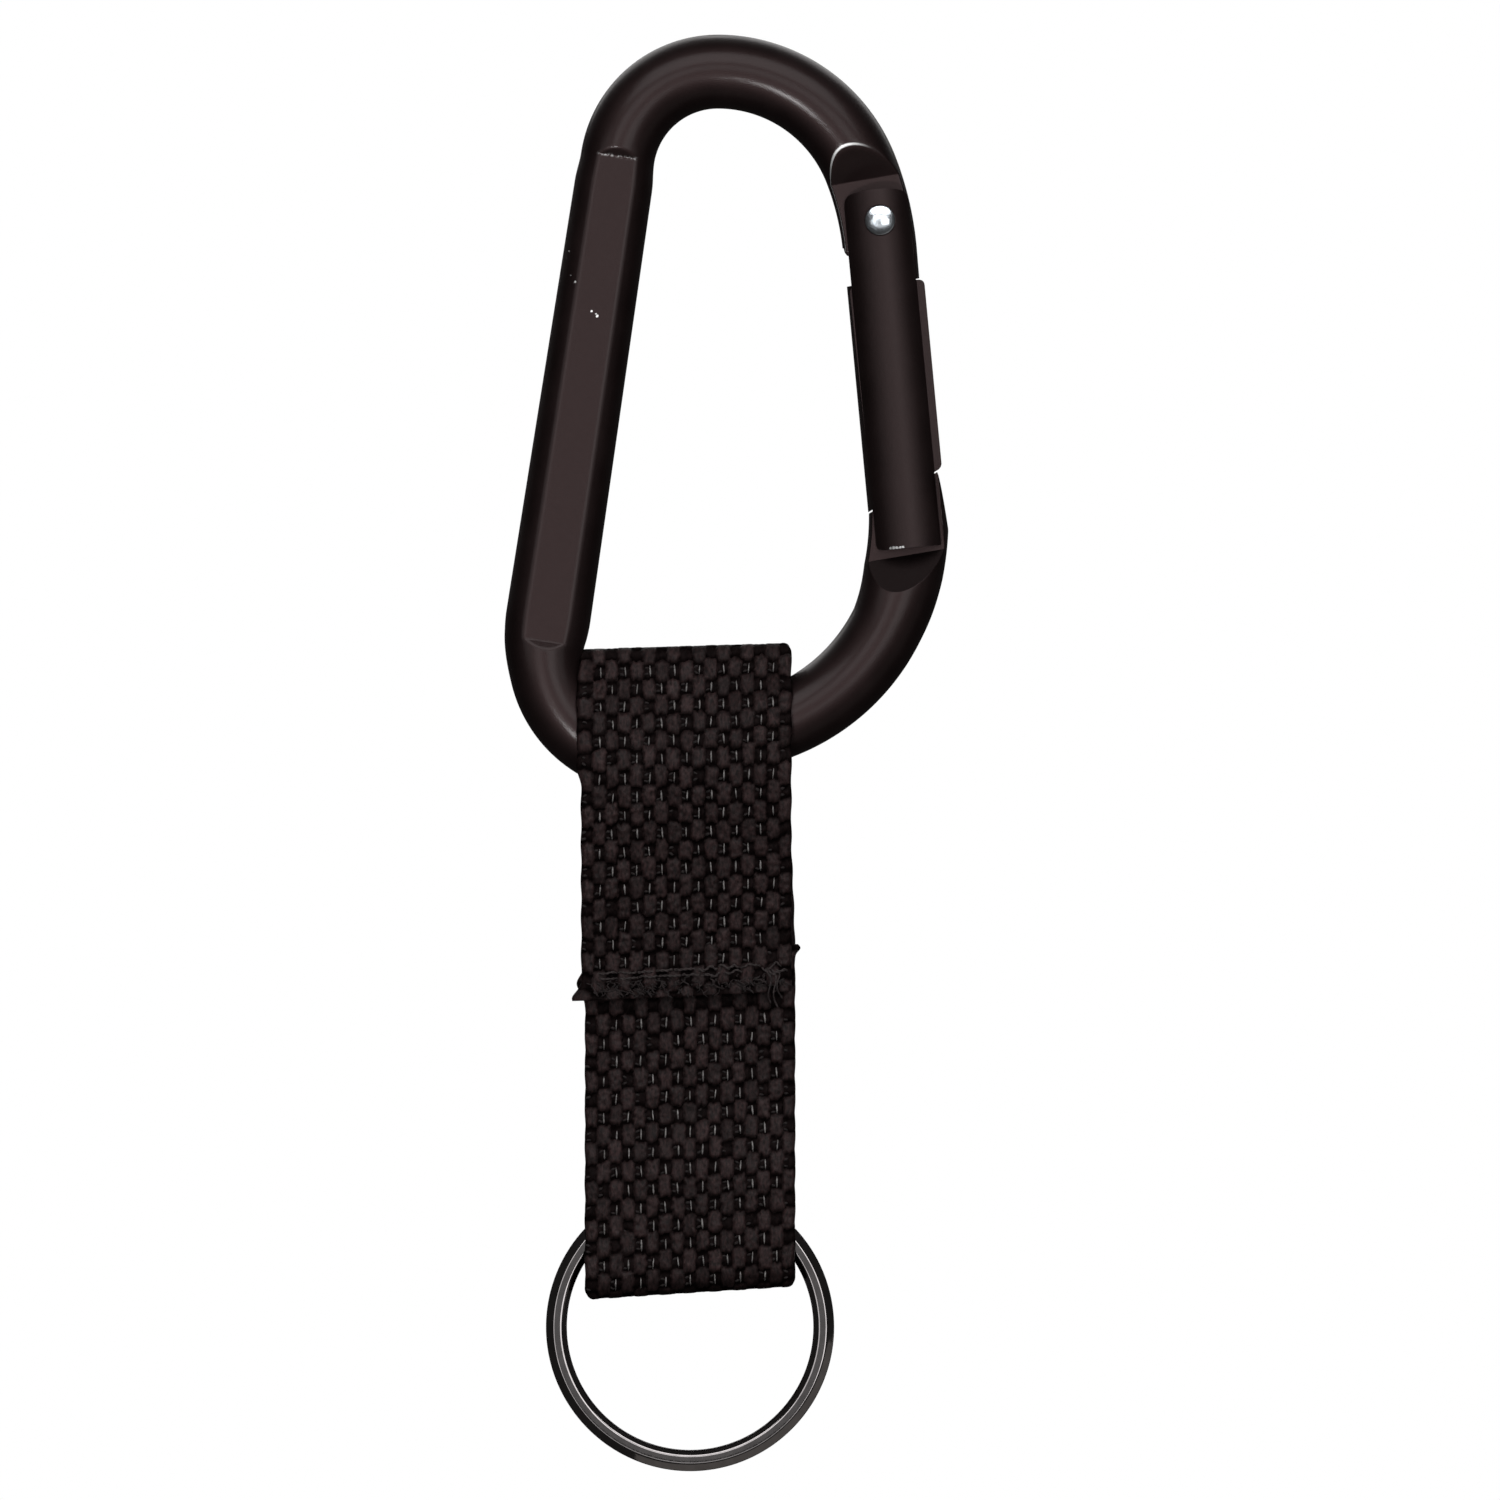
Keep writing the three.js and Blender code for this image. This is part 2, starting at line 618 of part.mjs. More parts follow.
// Two layers that part around the ring and fold under it.
function lowerStrap() {
  const outer = FOLD_HALF + WEBBING;
  const fold = FOLD_BOTTOM + outer;
  const shape = new THREE.Shape();
  shape.moveTo(WEBBING, FLEX_Z);
  shape.absarc(0, FLEX_Z, WEBBING, 0, Math.PI, false);
  shape.lineTo(-WEBBING, PART_TOP + WEBBING);
  shape.lineTo(-outer, PART_FULL);
  shape.lineTo(-outer, fold);
  shape.absarc(0, fold, outer, Math.PI, 2 * Math.PI, false);
  shape.lineTo(outer, PART_FULL);
  shape.lineTo(WEBBING, PART_TOP + WEBBING);
  shape.closePath();
  const hollow = new THREE.Path();
  hollow.moveTo(0, PART_TOP);
  hollow.lineTo(FOLD_HALF, PART_FULL);
  hollow.lineTo(FOLD_HALF, fold);
  hollow.absarc(0, fold, FOLD_HALF, 0, -Math.PI, true);
  hollow.lineTo(-FOLD_HALF, PART_FULL);
  hollow.closePath();
  shape.holes.push(hollow);
  return strapSolid(shape, LOWER_X);
}

// A row of stitches at y = level, running left to right and dipping towards the webbing at each hole.
function threadSolid(level, outward, backTack) {
  const points = [];
  const count = Math.round((SEAM_RIGHT - SEAM_LEFT) / STITCH);
  for (let i = 0; i <= 2 * count; i += 1) {
    const share = i / (2 * count);
    const rise = i % 2 ? 1 : 0;
    const wander = STITCH_WANDER * Math.sin(i * STITCH_WAVE);
    points.push(new THREE.Vector3(
      THREE.MathUtils.lerp(SEAM_LEFT, SEAM_RIGHT, share),
      level + outward * STITCH_RISE * rise,
      SEAM_Z + wander,
    ));
  }
  const last = points[points.length - 1];
  if (backTack) points.push(new THREE.Vector3(last.x + BACK_TACK_OUT, last.y, last.z - backTack));
  const path = new THREE.CatmullRomCurve3(points);
  return toSolid(new THREE.ExtrudeGeometry(circleShape(THREAD_RADIUS, THREAD_SIDES), {
    steps: THREAD_STEPS, extrudePath: path, bevelEnabled: false,
  }));
}

// The split ring: the wire goes round in front, crosses to the back in the short arc between its
// ends, and goes on round behind itself. The crossing lies inside the webbing's fold.
function ringSolid() {
  const total = 360 + RING_LAP;
  const step = total / Math.ceil(total / RING_STEP);
  const layer = (RING_WIRE_DEEP + RING_TURN_GAP) / 2;
  const frames = [];
  for (let turned = 0; turned < total + step / 2; turned += step) {
    const angle = (RING_FRONT_END - turned) * DEGREE;
    const crossed = THREE.MathUtils.smoothstep(turned, RING_LAP, 360);
    const across = new THREE.Vector3(Math.cos(angle), 0, Math.sin(angle));
    frames.push({
      at: new THREE.Vector3(RING_X, layer * (2 * crossed - 1), RING_Z)
        .addScaledVector(across, RING_MEAN),
      across,
      up: new THREE.Vector3(0, -1, 0),
    });
  }
  const wide = RING_WIRE_WIDE / 2;
  const deep = RING_WIRE_DEEP / 2;
  const section = roundedShape([
    [-wide, -deep, RING_WIRE_ROUND], [wide, -deep, RING_WIRE_ROUND],
    [wide, deep, RING_WIRE_ROUND], [-wide, deep, RING_WIRE_ROUND],
  ]);
  return sweep(section, frames);
}

const gateGroup = new THREE.Group();
gateGroup.position.set(RIVET_X, 0, RIVET_Z);
gateGroup.rotation.y = -GATE_LEAN * DEGREE;
gateGroup.add(
  named('gate', gateSolid(), materials.bodyBlack),
  named('hinge_rivet', rivetSolid(), materials.steel),
  named('gate_plunger', plungerSolid(), materials.springSteel),
  named('gate_spring', springSolid(), materials.springSteel),
);

const keyring = new THREE.Group();
keyring.name = 'carabiner_keyring';
keyring.add(
  named('carabiner_body', carabinerBody(), materials.bodyBlack),
  gateGroup,
  named('webbing_top_loop', topLoop(), materials.webbing),
  named('webbing_upper', upperStrap(), materials.webbing),
  named('webbing_lower', lowerStrap(), materials.webbing),
  named('needle_thread', threadSolid(-2 * WEBBING - THREAD_LIFT, -1, BACK_TACK), materials.thread),
  named('bobbin_thread', threadSolid(WEBBING + THREAD_LIFT, 1, 0), materials.thread),
  named('split_ring', ringSolid(), materials.blackNickel),
);

export default keyring;
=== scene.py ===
"""Looks of the carabiner keyring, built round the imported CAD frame.

Shapes are worked out in millimetres and written to the meshes in metres.
"""
import json
import math
from functools import partial

import bmesh
import bpy
import numpy as np
from mathutils import Matrix, Vector


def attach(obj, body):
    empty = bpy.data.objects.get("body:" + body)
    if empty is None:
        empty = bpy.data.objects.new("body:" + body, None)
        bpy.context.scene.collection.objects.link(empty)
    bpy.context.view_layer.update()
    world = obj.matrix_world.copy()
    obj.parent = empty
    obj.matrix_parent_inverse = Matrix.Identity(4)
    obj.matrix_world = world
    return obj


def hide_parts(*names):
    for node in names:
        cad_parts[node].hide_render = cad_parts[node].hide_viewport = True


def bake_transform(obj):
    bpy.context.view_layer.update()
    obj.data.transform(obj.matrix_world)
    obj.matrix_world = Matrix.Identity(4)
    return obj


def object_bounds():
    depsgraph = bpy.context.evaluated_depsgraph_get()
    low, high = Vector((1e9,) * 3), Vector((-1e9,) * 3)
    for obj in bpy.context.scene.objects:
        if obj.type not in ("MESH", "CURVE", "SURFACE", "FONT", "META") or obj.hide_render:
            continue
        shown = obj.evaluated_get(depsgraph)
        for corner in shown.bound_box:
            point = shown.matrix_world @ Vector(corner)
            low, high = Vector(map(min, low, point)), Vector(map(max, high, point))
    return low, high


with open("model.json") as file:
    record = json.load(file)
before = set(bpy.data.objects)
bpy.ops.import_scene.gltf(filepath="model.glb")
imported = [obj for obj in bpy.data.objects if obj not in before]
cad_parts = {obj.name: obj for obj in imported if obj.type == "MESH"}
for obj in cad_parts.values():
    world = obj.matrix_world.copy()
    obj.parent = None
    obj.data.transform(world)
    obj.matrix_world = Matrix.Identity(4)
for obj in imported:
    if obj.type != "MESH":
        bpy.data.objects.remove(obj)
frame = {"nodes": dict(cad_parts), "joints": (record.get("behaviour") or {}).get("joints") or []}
cad_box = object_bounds()
MM = 0.001
JOINTS = {joint["name"]: joint for joint in frame["joints"]}
rng = np.random.default_rng(7)


def joint_mm(name):
    """Where the frame puts a joint, in millimetres."""
    return np.array(JOINTS[name]["pos_m"]) / MM


# Camera

CAMERA_AWAY = 1.6
VIEW_WIDE = 0.16216
CAMERA_OFF = (0.00256, 0.0003)


def make_camera():
    """A long lens square to the front, a little off the object's middle, as the photograph has it."""
    low, high = cad_box
    centre = (low + high) / 2
    data = bpy.data.cameras.new("camera")
    data.sensor_width = 36
    data.lens = data.sensor_width * CAMERA_AWAY / VIEW_WIDE
    data.clip_start, data.clip_end = 0.1, 20
    camera = bpy.data.objects.new("camera", data)
    camera.location = (centre.x + CAMERA_OFF[0], -CAMERA_AWAY, centre.z + CAMERA_OFF[1])
    camera.rotation_euler = (math.pi / 2, 0, 0)
    bpy.context.scene.collection.objects.link(camera)
    bpy.context.scene.camera = camera


make_camera()


# Meshes

def new_object(name, points, faces, smooth=True):
    """A mesh object from points in millimetres."""
    mesh = bpy.data.meshes.new(name)
    mesh.from_pydata((np.asarray(points, float) * MM).tolist(), [], faces)
    mesh.validate()
    mesh.polygons.foreach_set("use_smooth", [smooth] * len(mesh.polygons))
    mesh.update()
    obj = bpy.data.objects.new(name, mesh)
    bpy.context.scene.collection.objects.link(obj)
    return obj


def circle(sides):
    """Angles evenly round a full turn."""
    return np.linspace(0, 2 * np.pi, sides, endpoint=False)


def tube_faces(rings, sides, closed=False, start=0):
    """The quads between rings of points, with a face over each open end."""
    i, j = np.meshgrid(np.arange(rings if closed else rings - 1), np.arange(sides), indexing="ij")
    a, b = i * sides + j, i * sides + (j + 1) % sides
    up = ((i + 1) % rings) * sides
    quads = np.stack([a, b, up + (j + 1) % sides, up + j], axis=-1).reshape(-1, 4) + start
    faces = quads.tolist()
    if not closed:
        faces.append(list(range(start + sides - 1, start - 1, -1)))
        faces.append([start + (rings - 1) * sides + k for k in range(sides)])
    return faces


def tube(name, rings, closed=False, smooth=True):
    """A closed skin over rings, an array of (ring, point round it, xyz)."""
    rings = np.asarray(rings, float)
    count, sides = rings.shape[:2]
    obj = new_object(name, rings.reshape(-1, 3), tube_faces(count, sides, closed), smooth)
    return outward(obj)


def give(obj, *looks):
    for look in looks:
        obj.data.materials.append(look)
    return obj


def outward(obj):
    """Turns every face of a closed mesh to the outside."""
    bm = bmesh.new()
    bm.from_mesh(obj.data)
    bmesh.ops.recalc_face_normals(bm, faces=bm.faces)
    bm.to_mesh(obj.data)
    bm.free()
    return obj


def tubes(name, paths, radii, sides=8):
    """Several round threads as one mesh. Each path is an array of points and each radius a number."""
    points, faces = [], []
    for path, radius in zip(paths, radii):
        path = np.asarray(path, float)
        along = np.gradient(path, axis=0)
        along /= np.linalg.norm(along, axis=1)[:, None]
        up = np.tile([0.02, 0.1, 1.0], (len(path), 1))
        up[np.abs(along[:, 2]) > 0.8] = [1.0, 0.1, 0.02]
        side = np.cross(along, up)
        side /= np.linalg.norm(side, axis=1)[:, None]
        up = np.cross(side, along)
        angle = circle(sides)
        taper = np.ones(len(path))
        taper[[0, -1]] = 0.5
        ring = (
            path[:, None]
            + radius * taper[:, None, None] * np.cos(angle)[None, :, None] * side[:, None]
            + radius * taper[:, None, None] * np.sin(angle)[None, :, None] * up[:, None]
        )
        faces += tube_faces(len(path), sides, start=len(points))
        points += ring.reshape(-1, 3).tolist()
    return outward(new_object(name, points, faces))


def prism(outline, low, high):
    """A cutter: an (x, z) outline given depth from y = low to y = high."""
    points = [(x, y, z) for y in (low, high) for x, z in outline]
    count = len(outline)
    faces = [[k, (k + 1) % count, count + (k + 1) % count, count + k] for k in range(count)]
    faces += [list(range(count - 1, -1, -1)), list(range(count, 2 * count))]
    return outward(new_object("cutter", points, faces, smooth=False))


def bar(axis, radius, low, high, centre=(0, 0), sides=96):
    """A cutter: a round bar along y or z, through a point given by its other two coordinates."""
    angle = circle(sides)
    a, b = centre[0] + radius * np.cos(angle), centre[1] + radius * np.sin(angle)
    order = {"y": lambda p, q, h: (p, h, q), "z": lambda p, q, h: (p, q, h)}[axis]
    rings = [[order(p, q, h) for p, q in zip(a, b)] for h in (low, high)]
    return tube("cutter", rings)


def apply_modifiers(obj):
    """Makes what the modifiers show the object's own mesh."""
    mesh = bpy.data.meshes.new_from_object(obj.evaluated_get(bpy.context.evaluated_depsgraph_get()))
    obj.modifiers.clear()
    obj.data = mesh
    return obj


def carve(obj, *steps):
    """Joins or cuts solids in turn. Each step is (operation, cutter), and the cutters are used up."""
    for operation, cutter in steps:
        modifier = obj.modifiers.new(operation, "BOOLEAN")
        modifier.operation = operation
        modifier.solver = "EXACT"
        modifier.object = cutter
    apply_modifiers(obj)
    for _, cutter in steps:
        bpy.data.objects.remove(cutter)
    return obj


def soften(obj, width, angle, segments=2):
    """Breaks the sharp edges, and gives the broken edges the second material."""
    modifier = obj.modifiers.new("soften", "BEVEL")
    modifier.width = width * MM
    modifier.segments = segments
    modifier.limit_method = "ANGLE"
    modifier.angle_limit = math.radians(angle)
    modifier.harden_normals = True
    modifier.material = 1
    return apply_modifiers(obj)


def rounded(corners, steps=8):
    """An outline with quadratic corners, from (x, z, reach) corners."""
    points = []
    corners = [(np.array(c[:2], float), c[2] if len(c) > 2 else 0) for c in corners]
    for i, (here, reach) in enumerate(corners):
        if not reach:
            points.append(tuple(here))
            continue
        before, after = corners[i - 1][0] - here, corners[(i + 1) % len(corners)][0] - here
        start = here + before / np.linalg.norm(before) * reach
        end = here + after / np.linalg.norm(after) * reach
        for t in np.linspace(0, 1, steps):
            points.append(tuple((1 - t) ** 2 * start + 2 * t * (1 - t) * here + t * t * end))
    return points


def mark_points(obj, **marks):
    """Keeps a value of each kind at each point, for the materials."""
    for name, value in marks.items():
        kept = obj.data.attributes.new(name, "FLOAT", "POINT")
        kept.data.foreach_set("value", np.ascontiguousarray(value, np.float32).ravel())


def lengths_along(points):
    """The distance along a path at each of its points."""
    return np.concatenate([[0], np.cumsum(np.linalg.norm(np.diff(points, axis=0), axis=1))])


def sampled(at, lengths, points):
    """The places on a path at the distances given."""
    return np.stack([np.interp(at, lengths, column) for column in points.T], axis=1)


def smooth_step(low, high, x):
    t = np.clip((x - low) / (high - low), 0, 1)
    return t * t * (3 - 2 * t)


def soft_min(a, b, width):
    """The smaller of two values, rounded over where they cross."""
    share = np.clip(0.5 + 0.5 * (b - a) / width, 0, 1)
    return b + (a - b) * share - width * share * (1 - share)


# The rod

# The centre line starts at the top of the bow. Its runs are (radius, turn) arcs and (length, 0)
# straights. Distances along it are negative towards the hinge, and positive down the spine to the nose.
ROD = 4.0
ROD_SIDES = 144
ROD_KEEP = 5
FAR = 9
RIGHT = [(16.6, -68.8), (32.1, -16.5), (5, 0)]
LEFT = [(10.95, 81.4), (52.1, 0), (11.55, 115.6), (9.6, 0), (21.4, 58.6), (30, 26)]
SPINE = (15.56, 67.66)
HINGE_ZONE = -12
FLAT_ZONE = (8, 80)
NOSE_ZONE = 110
SPINE_SPREAD = (1.05, 0.105)
NOSE_SPREAD = 0.045
NOSE_SPREAD_FROM = 118
NOSE_SPREAD_OVER = 6
NOSE_SPREAD_IN = 0.27
TANG = 1.65
TANG_SLOPE = (ROD - TANG) / 3.8
FLAT = 3.42
FLAT_SLOPE = (ROD - FLAT) / 0.9
FLAT_LONG = 52.9
FLAT_TOP = (-10.83, -5.25, 261.4)
HINGE_FOOT = (15.7, -7.8, -80.2)
NOSE_FOOT = (19.8, -48.4, 99.5)
NOSE_WALL = 3.62
# The cut's outer edge: how far out and down it ends, and how far it bellies
NOSE_TIP = (3.6, 34.2, 0.67)
CREASE = 0.16
NOSE_GAP = 0.2


def route(start, heading, runs, step=0.1):
    """Points (x, z, heading, distance) along arcs (radius, turn) and straights (length, 0)."""
    x, z, angle, gone = start[0], start[1], math.radians(heading), 0.0
    found = [(x, z, angle, gone)]
    for size, turn in runs:
        turned = math.radians(turn)
        long = size * abs(turned) if turn else size
        side = math.copysign(1, turn) if turn else 0
        count = math.ceil(long / step)
        for i in range(1, count + 1):
            share = i / count
            if turn:
                to = angle + turned * share
                at = (
                    x + side * size * (math.sin(to) - math.sin(angle)),
                    z - side * size * (math.cos(to) - math.cos(angle)),
                )
            else:
                to = angle
                at = (x + long * share * math.cos(angle), z + long * share * math.sin(angle))
            found.append((*at, to, gone + long * share))
        x, z, angle, gone = found[-1]
    return np.array(found)


def rod_line():
    """The whole centre line, from the hinge end round to the nose."""
    right = route((0, ROD), 0, RIGHT)[1:][::-1]
    right[:, 2] += math.pi
    right[:, 3] *= -1
    return np.vstack([right, route((0, ROD), 180, LEFT)])


def nose_share(gone):
    """0 on the plain rod, rising to 1 over the pressed nose."""
    return np.clip((gone - NOSE_SPREAD_FROM) / NOSE_SPREAD_OVER, 0, 1)


def rod_spread(gone):
    """How much wider than round the presses leave the rod."""
    spine = (gone - SPINE[0]) / (SPINE[1] + 2.5 - SPINE[0])
    ends = np.clip(np.minimum((gone - SPINE[0]) / 3, (SPINE[1] + 4.5 - gone) / 6.5), 0, 1)
    full = SPINE_SPREAD[0] + SPINE_SPREAD[1] * np.clip(spine, 0, 1)
    return 1 + (full - 1) * ends * ends * (3 - 2 * ends) + NOSE_SPREAD * nose_share(gone)


def along(foot, x, z):
    """How far (x, z) lies past a foot (x, z, heading), along its heading."""
    heading = math.radians(foot[2])
    return (x - foot[0]) * math.cos(heading) + (z - foot[1]) * math.sin(heading)


def pressed(gone, x, z):
    """How thick the presses leave the rod at a place, half of it."""
    hinge = TANG - TANG_SLOPE * np.minimum(along(HINGE_FOOT, x, z), 0)
    down = along(FLAT_TOP, x, z)
    flat = FLAT + FLAT_SLOPE * (np.maximum(-down, 0) + np.maximum(down - FLAT_LONG, 0))
    on_flat = (gone > FLAT_ZONE[0]) & (gone < FLAT_ZONE[1])
    return np.select([gone < HINGE_ZONE, on_flat], [hinge, flat], float(FAR))


def nose_wedge(side):
    """A cutter for one face of the nose tang: the flat, the ramp off it and the wall beside it."""
    heading = math.radians(NOSE_FOOT[2])
    ahead = np.array([math.cos(heading), math.sin(heading)])
    foot = np.array(NOSE_FOOT[:2])
    wall_a, wall_b = (np.array(from_gate(NOSE_WALL, d)) for d in (25, 45))
    slope = [(along(NOSE_FOOT, *w), w) for w in (wall_a, wall_b)]
    points = []
    section = ((14, -FAR), (14, -TANG), (0, -TANG), (-5, -TANG - 5 * TANG_SLOPE), (-5, -FAR))
    for s, y in section:
        t = (s - slope[0][0]) / (slope[1][0] - slope[0][0])
        near = wall_a + (wall_b - wall_a) * t
        far = foot + ahead * s - FAR * np.array([ahead[1], -ahead[0]])
        points += [(near[0], -side * y, near[1]), (far[0], -side * y, far[1])]
    faces = [[2 * k, 2 * k + 1, (2 * k + 3) % 10, (2 * k + 2) % 10] for k in range(5)]
    faces += [[0, 2, 4, 6, 8], [9, 7, 5, 3, 1]]
    cutter = give(outward(new_object("cutter", points, faces, smooth=False)), body_look, painted_shade_ramp_look)
    # The ramp face takes the second, darker material: painted shade on the nose ramp.
    ramp_face = 2
    cutter.data.polygons[ramp_face].material_index = 1
    return cutter


def from_gate(out, down):
    """(x, z) of a place given from the rivet, outwards across the gate and down along it."""
    lean = math.radians(GATE_LEAN)
    return (
        RIVET[0] + out * math.cos(lean) + down * math.sin(lean),
        RIVET[2] + out * math.sin(lean) - down * math.cos(lean),
    )


def make_rod():
    """The bent rod with its pressed flats, cut to fit round both ends of the gate."""
    tang_reach, flat_reach = 3.2, 1.6
    line = rod_line()
    spots = np.array([along(HINGE_FOOT, *line[:, :2].T), along(NOSE_FOOT, *line[:, :2].T)])
    down = along(FLAT_TOP, *line[:, :2].T)
    fine = (line[:, 3] < -20) & (np.abs(spots[0] + 2) < tang_reach)
    fine |= (line[:, 3] > NOSE_ZONE) & (np.abs(spots[1] + 2) < tang_reach)
    on_spine = (line[:, 3] > FLAT_ZONE[0]) & (line[:, 3] < FLAT_ZONE[1])
    fine |= on_spine & ((np.abs(down) < flat_reach) | (np.abs(down - FLAT_LONG) < flat_reach))
    keep = fine | (np.arange(len(line)) % ROD_KEEP == 0)
    keep[[0, -1]] = True
    line = line[keep]
    x, z, heading, gone = line.T
    angle = circle(ROD_SIDES)
    across = ROD * np.cos(angle)[None] * rod_spread(gone)[:, None]
    inwards = np.maximum(-np.cos(angle)[None], 0)
    across = across - NOSE_SPREAD_IN * nose_share(gone)[:, None] * inwards
    depth = ROD * np.abs(np.sin(angle))[None]
    px = x[:, None] + across * np.sin(heading)[:, None]
    pz = z[:, None] - across * np.cos(heading)[:, None]
    limit = pressed(gone[:, None], px, pz)
    y = soft_min(depth, limit, CREASE) * np.sign(np.sin(angle))[None]
    y[:, np.abs(np.sin(angle)) < 1e-9] = 0
    # Its second material, the painted shade for the nose ramp, reaches the ramp's faces from the
    # cutters.
    rod = give(tube("carabiner_rod", np.stack([px, y, pz], axis=-1)), body_look, painted_shade_ramp_look)
    worn = np.exp(-(along(FLAT_TOP, px, pz) / 0.13) ** 2) * (np.abs(np.abs(y) - FLAT) < 0.12)
    # worn marks a worn line on the flat's top edge; the other two place the painted highlight along the
    # hinge crease.
    mark_points(
        rod,
        worn=worn * (gone[:, None] > 0),
        crease=np.clip(depth - limit, -2, 2),
        inside=smooth_step(16.8, 14.2, px) * (gone[:, None] < HINGE_ZONE),
    )
    heel = [(-FAR, 2.5), (-4.15, 2.5), (-4.08, 2.95), (-3.85, 3.3), (-3.5, 3.45), (-3.15, 3.5)]
    toe = [(1.2, 3.5), (3.1, 6.5), (FAR, 6.5), (FAR, 20), (-FAR, 20)]
    out, foot, belly = NOSE_TIP
    tip = web_end(out) + NOSE_GAP
    edge = [(out + belly * t, tip + (foot - tip) * t ** 1.6) for t in np.linspace(0, 1, 7)]
    top = [(-FAR, web_end(-FAR) + NOSE_GAP), (-FAR, 20), (FAR, 20), (FAR, foot)]
    nose = [*top, *reversed(edge)]
    return carve(
        rod,
        ("DIFFERENCE", nose_wedge(-1)),
        ("DIFFERENCE", nose_wedge(1)),
        ("DIFFERENCE", prism([from_gate(*p) for p in heel + toe], -FAR, FAR)),
        ("DIFFERENCE", prism([from_gate(*p) for p in nose], -FAR, FAR)),
    )


# The gate

# Drawn upright from the rivet: x is outwards, away from the D, and z is up along the bar.
RIVET = joint_mm("gate_hinge")
GATE_LEAN = 5.4
GATE_BAR = 4.0
GATE_SHIFT = -0.2
GATE_TOP = 3.35
GATE_LONG = 35.45
SLOT = 1.95
CHEEK = math.sqrt(GATE_BAR ** 2 - SLOT ** 2)
FIN = (3.95, 3.65, 4.17)
FIN_DEEP = 1.85
FIN_FOOT = (31.05, 27.1)
WEB_TOP = 6.7
SPOTFACE = (1.72, 3.5)
RIVET_HOLE = 1.35
BORE = 1.6
BORE_LONG = 22
BORE_OFF = -0.6
COIL = (12.55, 21.45)


def web_end(out):
    """How far down the slanted foot of the gate's web is."""
    return FIN_FOOT[0] + (FIN_FOOT[1] - FIN_FOOT[0]) * (out + FIN[0]) / (FIN[2] + FIN[0])


def to_world(obj):
    """Puts a piece drawn in gate coordinates, x out and z up, in its place."""
    lean = math.radians(GATE_LEAN)
    co = np.array([v.co for v in obj.data.vertices])
    x, z = co[:, 0].copy(), co[:, 2].copy()
    co[:, 0] = RIVET[0] * MM + x * math.cos(lean) - z * math.sin(lean)
    co[:, 2] = RIVET[2] * MM + x * math.sin(lean) + z * math.cos(lean)
    obj.data.vertices.foreach_set("co", co.astype(np.float32).ravel())
    obj.data.update()
    return obj


def make_gate():
    """The round bar with a slot for each tang, a fin down each side, the bore and the rivet's seat."""
    left, right, far = GATE_SHIFT - CHEEK, GATE_SHIFT + CHEEK, FAR
    shoulder = [(0, 1.9), (0.12, 2.5), (0.5, 2.98), (1.2, 3.2)]
    top = [(right - inset, z) for inset, z in shoulder]
    crown = [(GATE_SHIFT + t, GATE_TOP + 0.05 - 0.02 * t * t) for t in (1.2, 0.4, -0.4, -1.2)]
    other = [(left + inset, z) for inset, z in reversed(shoulder)]
    low = -GATE_LONG
    foot = [(left, low + 0.65), (left + 0.1, low + 0.3), (left + 0.3, low + 0.1), (left + 0.65, low)]
    outline = [(far, 1.9), *top, *crown, *other, (-far, 1.9), (-far, low + 0.65), *foot, (far, low)]
    fins = rounded([
        (-FIN[0], -WEB_TOP, 0.9), (-FIN[1], -FIN_FOOT[0]),
        (FIN[2], -FIN_FOOT[1], 0.5), (FIN[2], -WEB_TOP, 0.7),
    ])
    upper = [(-far, -WEB_TOP), (far, -WEB_TOP), (far, 9), (-far, 9)]
    lower = [(-far, -web_end(-far)), (-far, -50), (far, -50), (far, -web_end(far))]
    gate = bar("z", GATE_BAR, -GATE_LONG - 3, GATE_TOP + 3, (GATE_SHIFT, 0), sides=160)
    gate.name = gate.data.name = "gate_sleeve"
    give(gate, gate_look, edge_look)
    carve(
        gate,
        ("INTERSECT", prism(outline, -far, far)),
        ("UNION", prism(fins, -FIN_DEEP, FIN_DEEP)),
        ("DIFFERENCE", prism(upper, -SLOT, SLOT)),
        ("DIFFERENCE", prism(lower, -SLOT, SLOT)),
        ("DIFFERENCE", bar("z", BORE, -BORE_LONG, 0, (BORE_OFF, 0), sides=48)),
        ("DIFFERENCE", bar("y", RIVET_HOLE, -far, far, sides=48)),
        ("DIFFERENCE", bar("y", SPOTFACE[0], -far, -SPOTFACE[1])),
        ("DIFFERENCE", bar("y", SPOTFACE[0], SPOTFACE[1], far)),
    )
    soften(gate, 0.14, 32)
    return to_world(gate)


def make_spring():
    """The coil between the end of the bore and the plunger."""
    turns, radius, wire = 7, 1.05, 0.25
    t = np.linspace(0, 1, 24 * turns + 1)
    angle = 2 * np.pi * turns * t
    path = np.stack([
        BORE_OFF + radius * np.cos(angle), radius * np.sin(angle), -COIL[0] - (COIL[1] - COIL[0]) * t,
    ], axis=1)
    return to_world(tubes("coil_spring", [path], [wire], sides=10))


def lathe_y(name, profile, sides=64):
    """A turned piece about the y axis, from (radius, y) points."""
    angle = circle(sides)
    rings = [[(r * math.cos(a), y, r * math.sin(a)) for a in angle] for r, y in profile]
    return tube(name, rings)


def make_rivet():
    """The rivet: a low ball of a head on each side, proud of the gate's seat."""
    head, rim, crown = 1.62, 3.9, 4.3
    ball = (head ** 2 + (crown - rim) ** 2) / (2 * (crown - rim))
    slope = np.linspace(0.02, math.asin((head - 0.05) / ball), 14)
    cap = [(ball * math.sin(a), crown - ball * (1 - math.cos(a))) for a in slope]
    half = [*cap, (head - 0.01, rim - 0.01), (head, rim - 0.08), (head, 3.54), (1.2, 3.52)]
    profile = half + [(r, -y) for r, y in reversed(half)]
    return to_world(lathe_y("rivet_head", profile))


# The split ring

RING = joint_mm("ring_spin")
RING_MEAN = 14.45
RING_LAYER = 0.61
RING_FRONT_END = 72
RING_LAP = 324


